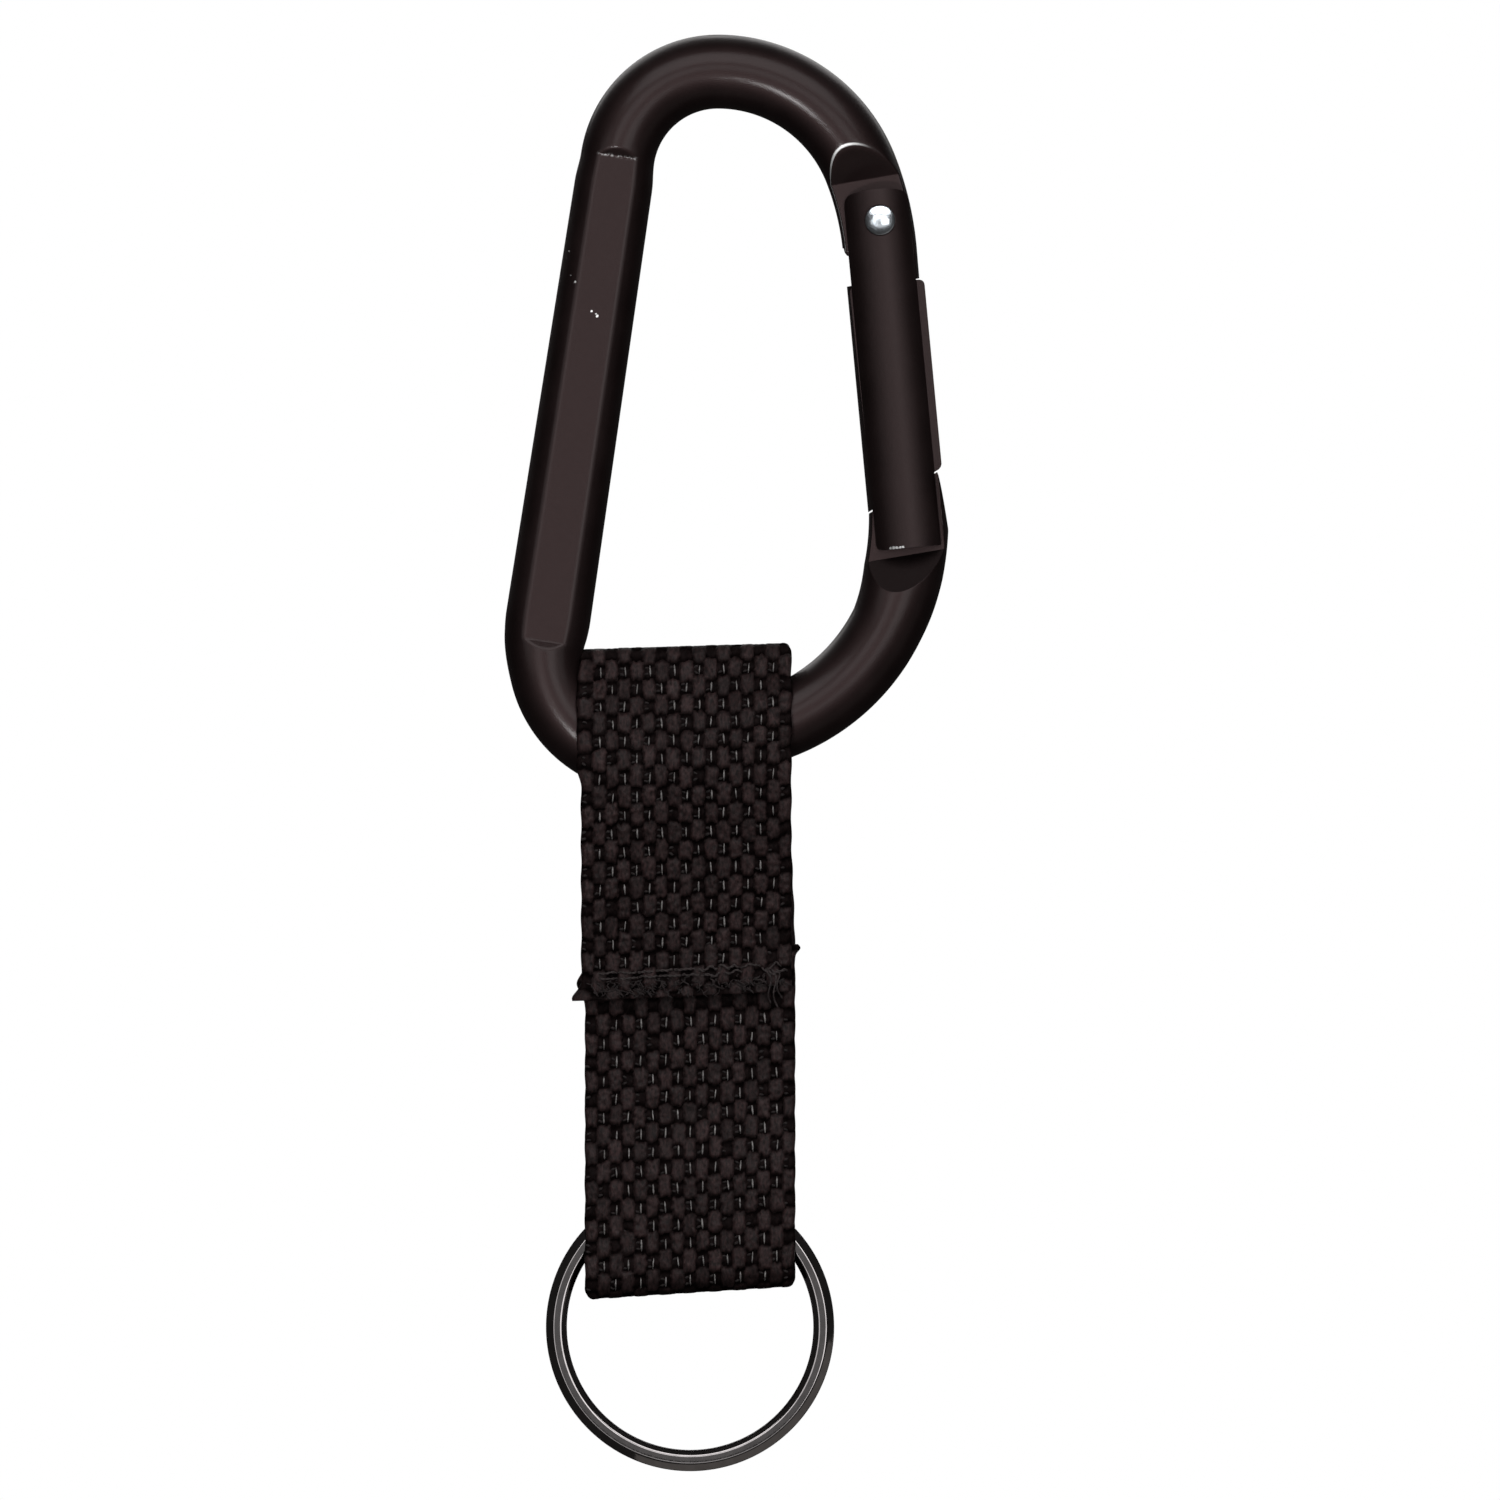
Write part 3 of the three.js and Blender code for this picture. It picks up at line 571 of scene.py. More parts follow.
def ring_section():
    """The wire's outline as (radial, depth): a narrow face, a long outer bevel, a short inner one."""
    half = [
        (-1.125, 0.0), (-1.115, 0.03), (-1.0, 0.135), (-0.8, 0.325), (-0.68, 0.437), (-0.64, 0.47),
        (-0.6, 0.493), (-0.55, 0.512), (-0.5, 0.525), (-0.45, 0.534), (-0.4, 0.539),
        (-0.35, 0.541), (-0.05, 0.541), (0.2, 0.541), (0.25, 0.538), (0.3, 0.528), (0.36, 0.508),
        (0.43, 0.468), (0.6, 0.36), (0.8, 0.235), (0.95, 0.14), (1.04, 0.085), (1.1, 0.04),
        (1.125, 0.0),
    ]
    return half + [(r, -d) for r, d in reversed(half[1:-1])]


def make_ring():
    """One length of wire coiled nearly twice, stepping from the front layer to the back one."""
    section = np.array(ring_section())
    total = 360 + RING_LAP
    turned = np.linspace(0, total, 620)
    angle = np.radians(RING_FRONT_END - turned)
    crossed = smooth_step(RING_LAP, 360, turned)
    shrink = np.clip(np.minimum(turned, total - turned) / 0.7, 0, 1) ** 0.5
    size = 0.8 + 0.2 * shrink[:, None]
    radial = RING_MEAN + section[None, :, 0] * size
    rings = np.stack([
        RING[0] + radial * np.cos(angle)[:, None],
        RING_LAYER * (2 * crossed[:, None] - 1) - section[None, :, 1] * size,
        RING[2] + radial * np.sin(angle)[:, None],
    ], axis=-1)
    return tube("ring_coil", rings)


# The webbing

# The weave has COLUMNS of warp floats, each ROW tall, on alternate rows.
STRAP = 22.7
COLUMNS = 17
PITCH = STRAP / COLUMNS
ROW = 2.0
FLOAT_HIGH = 0.42
SKIN = 0.22
INNER = 0.45
SEAM = -93.2
UPPER_X = -3.4
LOWER_X = -3.0
COLUMN_STEPS = 10
ROW_STEP = 0.16
# The webbing is lifted off the rod above this height, in steps that first widen the lift, then smooth it
LIFT_ABOVE = -78
LIFT_STEPS = (8, 34)
# (y, z) of the strip's middle, from its front end up, over the rod and down the back to the seam
UPPER_PATH = [
    (-2.15, -95.9), (-2.15, -91.2), (-2.6, -88), (-5.15, -72.2), (-5.1, -70.4), (-1.3, -60.0),
    (-0.5, -58.15), (0.5, -58.15), (1.5, -60.0), (4.85, -69.5), (4.8, -72), (0.95, -84.5),
    (0.75, -88), (0.75, SEAM),
]
# and on from the seam, down the back, round under the ring and up the front
LOWER_PATH = [
    (0.75, SEAM), (0.75, -108.5), (2.15, -115), (2.2, -126.2), (1.3, -127.6), (0, -127.95),
    (-1.3, -127.6), (-2.2, -126.2), (-2.15, -115), (-0.75, -108.5), (-0.75, -97), (-0.75, -90.8),
]


def strip_line(corners, step=ROW_STEP, ease=0.75):
    """The path with its corners eased, at even steps."""
    corners = np.array(corners, float)
    short = 0.05
    lengths = lengths_along(corners)
    fine = sampled(np.arange(0, lengths[-1], short), lengths, corners)
    reach = int(3 * ease / short)
    kernel = np.exp(-0.5 * (np.arange(-reach, reach + 1) * short / ease) ** 2)
    kernel /= kernel.sum()
    head = 2 * fine[0] - fine[1:reach + 1][::-1]
    tail = 2 * fine[-1] - fine[-reach - 1:-1][::-1]
    padded = np.vstack([head, fine, tail])
    fine = np.stack([np.convolve(padded[:, k], kernel, "valid") for k in range(2)], axis=1)
    lengths = lengths_along(fine)
    at = np.linspace(0, lengths[-1], math.ceil(lengths[-1] / step) + 1)
    return sampled(at, lengths, fine), at


def hashed(a, b, salt):
    """A number from 0 to 1 for each pair of whole numbers."""
    value = np.sin(a * 12.9898 + b * 78.233 + salt * 37.719) * 43758.5453
    return value - np.floor(value)


def grain(a, b, salt):
    """Smooth noise from -1 to 1 over two coordinates, one cell to each unit."""
    i, j = np.floor(a), np.floor(b)
    s, t = a - i, b - j
    s, t = s * s * (3 - 2 * s), t * t * (3 - 2 * t)
    low = hashed(i, j, salt) * (1 - s) + hashed(i + 1, j, salt) * s
    high = hashed(i, j + 1, salt) * (1 - s) + hashed(i + 1, j + 1, salt) * s
    return 2 * (low * (1 - t) + high * t) - 1


def weave(across, along_strip):
    """How far the yarns stand up at a place on the strip, and a tone for each float."""
    best = np.zeros(np.broadcast(across, along_strip).shape)
    tone = np.full(best.shape, 0.5)
    rough = grain(across / 0.3, along_strip / 0.42, 43)
    across, along_strip = (
        across + 0.12 * grain(across / 0.4, along_strip / 0.33, 41),
        along_strip + 0.18 * grain(across / 0.33, along_strip / 0.5, 42),
    )
    column = np.floor(across / PITCH)
    along_strip = along_strip + 0.1 * np.sin(0.31 * across + 0.13 * along_strip)
    along_strip = along_strip + 0.05 * np.sin(1.3 * across)
    for shift in (-1, 0, 1):
        c = np.clip(column + shift, 0, COLUMNS - 1)
        phase = c % 2
        row = along_strip / ROW
        k = np.round((row - phase) / 2)
        jitter = hashed(c, k, 1) - 0.5
        mid = 2 * k + phase + 0.16 * jitter
        dr = row - mid
        du = across - (c + 0.5 + 0.13 * (hashed(c, k, 2) - 0.5)) * PITCH
        wide = (0.53 + 0.08 * hashed(c, k, 3) + 0.06 * np.clip(dr, -0.5, 0.5)) * PITCH
        long = 0.57 + 0.08 * hashed(c, k, 4)
        rim = np.abs(du / wide) ** 4.5 + np.abs(dr / long) ** np.where(dr > 0, 3.6, 5.0)
        high = FLOAT_HIGH * (0.8 + 0.4 * hashed(c, k, 5)) * np.clip(1 - rim, 0, 1) ** 0.5
        better = high > best
        best = np.where(better, high, best)
        tone = np.where(better, hashed(c, k, 6), tone)
        gap = 1 - (np.abs(np.abs(dr) - 1) / 0.3) ** 2
        weft = 0.09 * np.clip(gap, 0, 1) * (np.abs(du) < 0.5 * PITCH)
        best = np.maximum(best, weft)
    return best * (1 + 0.2 * rough) + 0.02 * rough, tone


def rod_under(x, z):
    """Half the rod's thickness at (x, z) as seen from the front, 0 beside it."""
    line = rod_line()[::4]
    line = line[(line[:, 3] > 60) & (line[:, 3] < 135)]
    flat = np.stack([x.ravel(), z.ravel()], axis=1)
    best = np.full(len(flat), 1e9)
    for p in line[:, :2]:
        best = np.minimum(best, ((flat - p) ** 2).sum(1))
    return np.sqrt(np.clip(ROD ** 2 - best, 0, None)).reshape(x.shape)


def shear(z):
    """The strip's rows climb a little to the right, more so at the bottom."""
    return 0.03 + 0.033 * np.clip((z + 58) / -70, 0, 1)


def make_strip(name, corners, start, centre, clear_rod, flare):
    """One length of webbing as a closed skin, with its floats as relief on the outer side."""
    line, at = strip_line(corners)
    turn = np.gradient(line, axis=0)
    turn /= np.linalg.norm(turn, axis=1)[:, None]
    normal = np.stack([-turn[:, 1], turn[:, 0]], axis=1)
    u = np.linspace(0, STRAP, COLUMNS * COLUMN_STEPS + 1)
    high, tone = weave(u[None], (at + start)[:, None])
    edge = np.minimum(u, STRAP - u)
    fall = np.sqrt(np.clip(1 - (1 - edge / 0.6) ** 2, 0, 1)) * (edge < 0.6) + (edge >= 0.6)
    high = high * (1 - 0.85 * np.abs(normal[:, 1:2]) ** 2)
    outer = (SKIN + high) * fall[None] - 0.1 * (1 - fall[None])
    inner_u = np.linspace(STRAP - 0.15, 0.15, 14)
    inner = np.full((len(at), len(inner_u)), -INNER)
    inner[:, [0, -1]] = -INNER + 0.12
    across = np.concatenate([
        np.broadcast_to(u, outer.shape), np.broadcast_to(inner_u, inner.shape),
    ], axis=1)
    out = np.concatenate([outer, inner], axis=1)
    middle = np.array([centre(s) for s in at])[:, None]
    x = across - STRAP / 2 + middle
    bulge = 0.05 * np.sin((at + start) / ROW * np.pi)[:, None]
    side = (across - STRAP / 2) / (STRAP / 2)
    x = x + bulge * side ** 9 + flare(at[:, None], across, line[:, 1:2])
    y = line[:, None, 0] + normal[:, None, 0] * out
    z = line[:, None, 1] + normal[:, None, 1] * out
    z = z + shear(line[:, 1])[:, None] * (across - STRAP / 2)
    lift = np.zeros((len(at), len(u)))
    if clear_rod:
        lift = lift_field(line, u, middle)
        nearest = np.clip(np.rint(across[0] / STRAP * (len(u) - 1)), 0, len(u) - 1).astype(int)
        y = y + np.sign(line[:, 0:1]) * lift[:, nearest]
    rings = np.stack([x, y, z], axis=-1)
    obj = tube(name, rings)
    tones = np.concatenate([tone, np.full(inner.shape, 0.5)], axis=1)
    rises = np.concatenate([high / FLOAT_HIGH, np.full(inner.shape, 0.4)], axis=1)
    longs = np.broadcast_to((at + start)[:, None], tones.shape)
    mark_points(obj, tone=tones, rise=rises, long=longs, wide=across)
    return obj, (line, normal, at, lift)


def lift_field(line, u, middle):
    """How far the webbing has to stand off its path for the rod to pass behind it."""
    x = u[None] - STRAP / 2 + middle
    z = line[:, 1:2] + shear(line[:, 1])[:, None] * (u[None] - STRAP / 2)
    lift = np.zeros(x.shape)
    zone = line[:, 1] > LIFT_ABOVE
    rod = rod_under(x[zone], z[zone])
    need = np.where(rod > 0, rod + INNER + 0.1, 0)
    lift[zone] = np.clip(need - np.abs(line[zone, 0:1]), 0, None) * (np.abs(line[zone, 0:1]) > 0.6)
    for step in range(LIFT_STEPS[1]):
        near = lift.copy()
        if step < LIFT_STEPS[0]:
            near[1:-1] = np.maximum(np.maximum(lift[:-2], lift[2:]), near[1:-1])
            near[:, 1:-1] = np.maximum(np.maximum(lift[:, :-2], lift[:, 2:]), near[:, 1:-1])
        else:
            near[1:-1] = 0.25 * (lift[:-2] + lift[2:]) + 0.5 * lift[1:-1]
            near[:, 1:-1] = 0.25 * (near[:, :-2] + near[:, 2:]) + 0.5 * near[:, 1:-1]
        lift = near
    return lift


def gap_yarns(shape, start, centre, limits):
    """The yarns seen in the gaps between floats: glossy slivers, whose pale colour is a painted sheen,
    and ends of weft beside them.
    """
    line, normal, at, lift = shape
    slivers, ends = ([], []), ([], [])

    def laid(s, u, rise):
        y = np.interp(s, at, line[:, 0]) + np.interp(s, at, normal[:, 0]) * rise
        z = np.interp(s, at, line[:, 1]) + np.interp(s, at, normal[:, 1]) * rise
        row, col = np.searchsorted(at, s) - 1, np.rint(u / STRAP * (lift.shape[1] - 1)).astype(int)
        y = y + np.sign(np.interp(s, at, line[:, 0])) * lift[row, col]
        x = np.array([centre(v) for v in s]) + u - STRAP / 2
        return np.stack([x, y, z + shear(z) * (u - STRAP / 2)], axis=1)

    rows = range(int(start / ROW / 2) - 1, int((start + at[-1]) / ROW / 2) + 2)
    for c, k in ((c, k) for c in range(COLUMNS) for k in rows):
        mid = (2 * k + c % 2 + 1) * ROW - start
        if mid - 0.6 * ROW < limits[0] or mid + 0.6 * ROW > limits[1]:
            continue
        if abs(np.interp(mid, at, normal[:, 1])) > 0.5:
            continue
        chance = hashed(c, k, 11)
        u = (c + 0.5) * PITCH + 0.14 * (hashed(c, k, 12) - 0.5) + 0.05
        if 0 < c < COLUMNS - 1 and chance > 0.08:
            s = mid + np.linspace(-0.3 - 0.04 * chance, 0.2 + 0.08 * chance, 5) * ROW
            slant = u + 0.12 * (hashed(c, k, 15) - 0.5) * np.linspace(-1, 1, 5)
            slivers[0].append(laid(s, slant, SKIN + np.array([0.06, 0.2, 0.25, 0.2, 0.06])))
            slivers[1].append(0.07 + 0.035 * hashed(c, k, 13))
        for number, place in enumerate((-0.2, 0.14)):
            if hashed(c, k, 20 + number) < 0.3:
                continue
            slope = 0.3 * (hashed(c, k, 25 + number) - 0.5)
            s = mid + place * ROW + slope * np.linspace(-1, 1, 4)
            across = np.clip(u + np.linspace(-0.6, -0.14, 4), 0.15, STRAP - 0.15)
            ends[0].append(laid(s, across, SKIN + np.array([0.0, 0.1, 0.1, 0.0])))
            ends[1].append(0.11 + 0.05 * hashed(c, k, 30 + number))
    return slivers, ends


# Materials

def material(name):
    found = bpy.data.materials.new(name)
    found.use_nodes = True
    return found, found.node_tree.nodes, found.node_tree.links


def feed(links, sockets, values):
    """Sets each named or numbered socket to a value, or links another node's output to it."""
    for key, value in values.items():
        if isinstance(value, (int, float, tuple)):
            sockets[key].default_value = value
        else:
            links.new(value, sockets[key])


def link_math(nodes, links, operation, *values, kind="ShaderNodeMath"):
    """A number or vector worked out from others."""
    node = nodes.new(kind)
    node.operation = operation
    feed(links, node.inputs, dict(enumerate(values)))
    return node.outputs["Value" if operation == "DISTANCE" else 0]


def noise(nodes, links, scale, detail=3.0, vector=None, rough=0.55):
    node = nodes.new("ShaderNodeTexNoise")
    if vector is None:
        vector = nodes.new("ShaderNodeTexCoord").outputs["Object"]
    feed(links, node.inputs, {"Scale": scale, "Detail": detail, "Roughness": rough, "Vector": vector})
    return node.outputs["Fac"]


def ramp(nodes, links, value, stops):
    node = nodes.new("ShaderNodeValToRGB")
    elements = node.color_ramp.elements
    while len(elements) < len(stops):
        elements.new(0.5)
    for element, (place, colour) in zip(elements, stops):
        element.position = place
        element.color = (*colour, 1)
    links.new(value, node.inputs[0])
    return node.outputs[0]


def grey(value):
    return (value, value, value)


def blend_colour(nodes, links, share, first, second):
    node = nodes.new("ShaderNodeMix")
    node.data_type = "RGBA"
    colours = [(*value, 1) if isinstance(value, tuple) else value for value in (first, second)]
    feed(links, node.inputs, {0: share, 6: colours[0], 7: colours[1]})
    return node.outputs[2]


def bump(nodes, links, height, strength, distance):
    node = nodes.new("ShaderNodeBump")
    feed(links, node.inputs, {"Strength": strength, "Distance": distance, "Height": height})
    return node.outputs[0]


ANODISED = ((0.0185, 0.0105, 0.0105), (0.022, 0.0128, 0.0128))
BARE = (0.6, 0.6, 0.6)
# How much of a spot's depth counts, so that a spot reaches round an edge
SPOT_DEPTH = 0.12
# Chips on the spine, as (x, y, z, radius), and bare spots on the gate's lower lip, as (out, radius):
# chips are wear, the lip spots are partly wear and partly a painted highlight for the lip's glint
CHIPS = [
    (-16.1, -3.2, -15.5, 0.14), (-15.9, -3.3, -18.1, 0.1), (-15.35, -3.42, -18.8, 0.13),
    (-13.6, -3.42, -22.0, 0.12), (-13.0, -3.42, -22.5, 0.14), (-13.15, -3.42, -22.3, 0.08),
    (-16.3, -3.1, -16.2, 0.1), (-15.98, -3.3, -14.8, 0.1),
]
LIP_GLINT = [(-2.2, 0.12), (-1.85, 0.17), (-1.5, 0.18), (-1.15, 0.15), (-0.85, 0.1)]


def lip_glint_spots():
    """Bare metal along the gate's lower lip, partly wear and partly a painted highlight for its glint.
    """
    spots = []
    for out, radius in LIP_GLINT:
        x, z = from_gate(out, GATE_LONG - 0.12)
        spots.append((x, -math.sqrt(GATE_BAR ** 2 - (out - GATE_SHIFT) ** 2), z, radius))
    return spots


def satin_black(name, marked, light=1.0, spots=(), coat=0.2, coat_rough=0.17):
    """Black anodised aluminium: a fine grain, faint cloudiness, worn speckles along the flat's top edge,
    a painted highlight along the hinge crease, chips, and bare spots on the gate's lip that are partly a
    painted highlight.
    """
    made, nodes, links = material(name)
    shader = nodes["Principled BSDF"]
    calc = partial(link_math, nodes, links)
    mark = partial(attribute, nodes)
    cloud = noise(nodes, links, 220, 4)
    grain = noise(nodes, links, 9000, 2)
    speck = noise(nodes, links, 3200, 2)
    dark, pale = (tuple(c * light for c in tint) for tint in ANODISED)
    base = ramp(nodes, links, cloud, [(0.3, dark), (0.7, pale)])
    if marked:
        speckled = calc("MULTIPLY_ADD", speck, 6.0, -2.7)
        wear_and_highlight = calc("MULTIPLY", mark("worn"), speckled)
        wear_and_highlight = calc("MULTIPLY", wear_and_highlight, 0.35)
        # Painted highlight: a pale bare-metal line along the hinge crease, only on its left-hand part,
        # standing in for the edge catching the light.
        away = calc("MULTIPLY_ADD", mark("crease"), 9.0, 1.1)
        away = calc("MULTIPLY", away, away)
        line = calc("SUBTRACT", 1.0, away)
        line = calc("MAXIMUM", line, 0.0)
        crease_highlight = calc("MULTIPLY", line, mark("inside"))
        wear_and_highlight = calc("MAXIMUM", wear_and_highlight, crease_highlight)
        wear_and_highlight = calc("MINIMUM", wear_and_highlight, 1.0)
        base = blend_colour(nodes, links, wear_and_highlight, base, BARE)
    # Each spot paints bare metal: chips are wear, the lip spots are also a painted highlight.
    for x, y, z, radius in spots:
        here = nodes.new("ShaderNodeTexCoord").outputs["Object"]
        squeezed = calc("MULTIPLY", here, (1, SPOT_DEPTH, 1), kind="ShaderNodeVectorMath")
        spot = (x * MM, SPOT_DEPTH * y * MM, z * MM)
        gap = calc("DISTANCE", squeezed, spot, kind="ShaderNodeVectorMath")
        ragged = calc("MULTIPLY_ADD", speck, 0.3 * MM, -0.15 * MM)
        place = calc("ADD", gap, ragged)
        chip_and_glint = calc("LESS_THAN", place, radius * MM)
        base = blend_colour(nodes, links, chip_and_glint, base, BARE)
    bumped = bump(nodes, links, grain, 0.3, 0.00003)
    feed(links, shader.inputs, {
        "Base Color": base,
        "Metallic": 0.9,
        "Roughness": ramp(nodes, links, cloud, [(0.3, grey(0.48)), (0.7, grey(0.56))]),
        "Coat Weight": coat,
        "Coat Roughness": coat_rough,
        "Normal": bumped,
        "Coat Normal": bumped,
    })
    return made


def polished(name, colour, rough, scratch):
    """Bright metal with fine scratches."""
    made, nodes, links = material(name)
    shader = nodes["Principled BSDF"]
    cloud = noise(nodes, links, 700, 4)
    dark = tuple(0.82 * c for c in colour)
    fine = noise(nodes, links, 3500, 3)
    feed(links, shader.inputs, {
        "Metallic": 1,
        "Base Color": ramp(nodes, links, cloud, [(0.35, dark), (0.65, colour)]),
        "Roughness": ramp(nodes, links, fine, [(0.35, grey(rough)), (0.7, grey(rough + 0.06))]),
        "Normal": bump(nodes, links, fine, scratch, 0.00004),
    })
    return made


def attribute(nodes, name):
    """A value that mark_points kept."""
    node = nodes.new("ShaderNodeAttribute")
    node.attribute_name = name
    return node.outputs["Fac"]


def woven(name):
    """Black polypropylene yarn: painted shade between the floats, filaments along them, each its own
    tone.
    """
    made, nodes, links = material(name)
    shader = nodes["Principled BSDF"]
    calc = partial(link_math, nodes, links)
    mark = partial(attribute, nodes)
    rise = mark("rise")
    tone = mark("tone")
    place = nodes.new("ShaderNodeCombineXYZ")
    stretched = (calc("MULTIPLY", mark("wide"), 3.6), calc("MULTIPLY", mark("long"), 1.7))
    feed(links, place.inputs, dict(enumerate([*stretched, calc("MULTIPLY", tone, 9.0)])))
    fibre = noise(nodes, links, 1.0, 4, place.outputs[0], 0.6)
    mottle = noise(nodes, links, 900, 3)
    high = ramp(nodes, links, fibre, [(0.34, (0.0085, 0.0046, 0.0046)), (0.66, (0.042, 0.0215, 0.0215))])
    # Painted shade: the colour darkens, and the specular level drops, where the surface sinks between
    # the floats; the inner face gets a middling share.
    gap_shade = (0.0034, 0.0021, 0.0021)
    lit = calc("SMOOTH_MIN", rise, 1.0, 0.2)
    base = blend_colour(nodes, links, lit, gap_shade, high)
    shade = calc("MULTIPLY_ADD", tone, 0.3, 0.6)
    scaled = nodes.new("ShaderNodeVectorMath")
    scaled.operation = "SCALE"
    feed(links, scaled.inputs, {0: base, "Scale": shade})
    feed(links, shader.inputs, {
        "Base Color": scaled.outputs[0],
        "Roughness": ramp(nodes, links, mottle, [(0.3, grey(0.5)), (0.7, grey(0.72))]),
        "Specular IOR Level": calc("MULTIPLY", lit, 0.22),
        "Normal": bump(nodes, links, fibre, 0.7, 0.00022),
    })
    return made


def yarn(name, dark, light, rough):
    """Plain fibre between two colours."""
    made, nodes, links = material(name)
    shader = nodes["Principled BSDF"]
    fibre = noise(nodes, links, 2500, 3)
    spread = [(0.3, grey(rough)), (0.7, grey(min(1, rough + 0.2)))]
    feed(links, shader.inputs, {
        "Base Color": ramp(nodes, links, fibre, [(0.3, dark), (0.7, light)]),
        "Roughness": ramp(nodes, links, fibre, spread),
        "Normal": bump(nodes, links, fibre, 0.4, 0.00006),
    })
    return made


# Building

body_look = satin_black("satin_black_rod", True, spots=CHIPS)
# A copy of the rod's finish at 0.42 of its brightness with little coat: painted shade for the nose ramp.
painted_shade_ramp_look = satin_black("satin_black_ramp_painted_shade", False, 0.42, coat=0.03)
gate_look = satin_black("satin_black_gate", False, 1.22, lip_glint_spots(), coat_rough=0.42)
edge_look = satin_black("satin_black_worn_edge", False, 1.7, lip_glint_spots())
steel_look = polished("polished_steel", (0.78, 0.84, 0.9), 0.2, 0.35)
spring_look = polished("drawn_spring_steel", (0.45, 0.46, 0.48), 0.25, 0.2)
nickel_look = polished("black_nickel", (0.32, 0.3, 0.3), 0.05, 0.002)
webbing_look = woven("woven_polypropylene")
# The binder yarn is coloured pale grey: a painted sheen for the glints along these thin glossy yarns.
sliver_sheen_look = yarn("binder_yarn_painted_sheen", (0.05, 0.045, 0.044), (0.24, 0.225, 0.22), 0.35)
weft_look = yarn("weft_yarn", (0.006, 0.0036, 0.0036), (0.015, 0.0095, 0.0095), 0.8)
thread_look = yarn("sewing_thread", (0.012, 0.008, 0.008), (0.038, 0.027, 0.027), 0.65)
fray_look = yarn("frayed_yarn", (0.003, 0.0018, 0.0018), (0.026, 0.0165, 0.0165), 0.8)


def finish_piece(obj, body, look, slot, *nodes_replaced):
    """Gives a piece its look and its body, and hides the CAD nodes it stands for."""
    if not obj.data.materials:
        give(obj, look)
    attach(obj, body)
    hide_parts(*nodes_replaced)


rod = make_rod()
finish_piece(rod, "carabiner", body_look, "body_black", "carabiner_body")
gate = make_gate()
finish_piece(gate, "gate", gate_look, "gate_black", "gate")
rivet = make_rivet()
finish_piece(rivet, "carabiner", steel_look, "rivet_steel", "hinge_rivet")
ring = make_ring()
finish_piece(ring, "ring", nickel_look, "ring_black_nickel", "split_ring")

spring = give(make_spring(), spring_look)
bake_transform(spring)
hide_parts("gate_spring")
plunger = frame["nodes"]["gate_plunger"]
plunger.data.materials.clear()
give(plunger, spring_look)


def upper_centre(s):
    share = smooth_step(upper_long - 16, upper_long - 1, s)
    return UPPER_X + (LOWER_X - UPPER_X) * share


def lower_centre(s):
    return LOWER_X


def upper_flare(s, u, z):
    """Melted corner at the cut end, selvedge curling over the rod, and the fold's round corners."""
    left, right = np.exp(-(u / 1.1) ** 2), np.exp(-((STRAP - u) / 0.9) ** 2)
    corner = -1.0 * np.exp(-((s - 0.2) / 1.0) ** 2) * left
    curl = -0.45 * smooth_step(-59.4, -61.2, z) * smooth_step(-73, -70.5, z) * left
    tuck = -0.2 * smooth_step(-60.6, -58.8, z) * left
    turn = np.clip((z + 59.0) / 0.95, 0, 1)
    return corner + curl + tuck - 0.9 * (1 - np.sqrt(1 - turn ** 2)) * right


def lower_flare(s, u, z):
    """Melted corners at the covered end, and the fold's round corners."""
    end = lower_long - s
    left, right = np.exp(-(u / 0.9) ** 2), np.exp(-((STRAP - u) / 0.9) ** 2)
    spur = 0.55 * np.exp(-((end - 0.4) / 0.5) ** 2) * right
    lump = -0.95 * np.exp(-((end - 3.2) / 1.2) ** 2) * left
    turn = np.clip((-126.7 - z) / 1.2, 0, 1)
    return spur + lump + (1 - np.sqrt(1 - turn ** 2)) * (0.8 * left - 0.4 * right)


upper_long = strip_line(UPPER_PATH)[1][-1]
lower_long = strip_line(LOWER_PATH)[1][-1]


def join(base, extra, look):
    """Joins extra geometry into a piece, with its own material, keeping the piece's attributes."""
    slots = len(base.data.materials)
    give(base, look)
    count = len(extra.data.polygons)
    give(extra, *[look] * (slots + 1))
    extra.data.polygons.foreach_set("material_index", [slots] * count)
    with bpy.context.temp_override(active_object=base, selected_editable_objects=[base, extra]):
        bpy.ops.object.join()
    return base


def make_webbing(name, corners, start, centre, clear_rod, flare, limits):
    strip, shape = make_strip(name, corners, start, centre, clear_rod, flare)
    give(strip, webbing_look)
    slivers, ends = gap_yarns(shape, start, centre, limits)
    join(strip, tubes("slivers", *slivers, sides=6), sliver_sheen_look)
    return join(strip, tubes("weft_ends", *ends, sides=5), weft_look)


upper = make_webbing(
    "webbing_over_rod", UPPER_PATH, 0.0, upper_centre, True, upper_flare, (1.8, upper_long - 0.4)
)
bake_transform(upper)
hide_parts("webbing_top_loop", "webbing_upper")
lower = make_webbing(
    "webbing_round_ring", LOWER_PATH, upper_long, lower_centre, False, lower_flare,
    (0.4, lower_long - 5.5),
)
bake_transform(lower)
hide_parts("webbing_lower")


# Stitching, on both sides of the lap

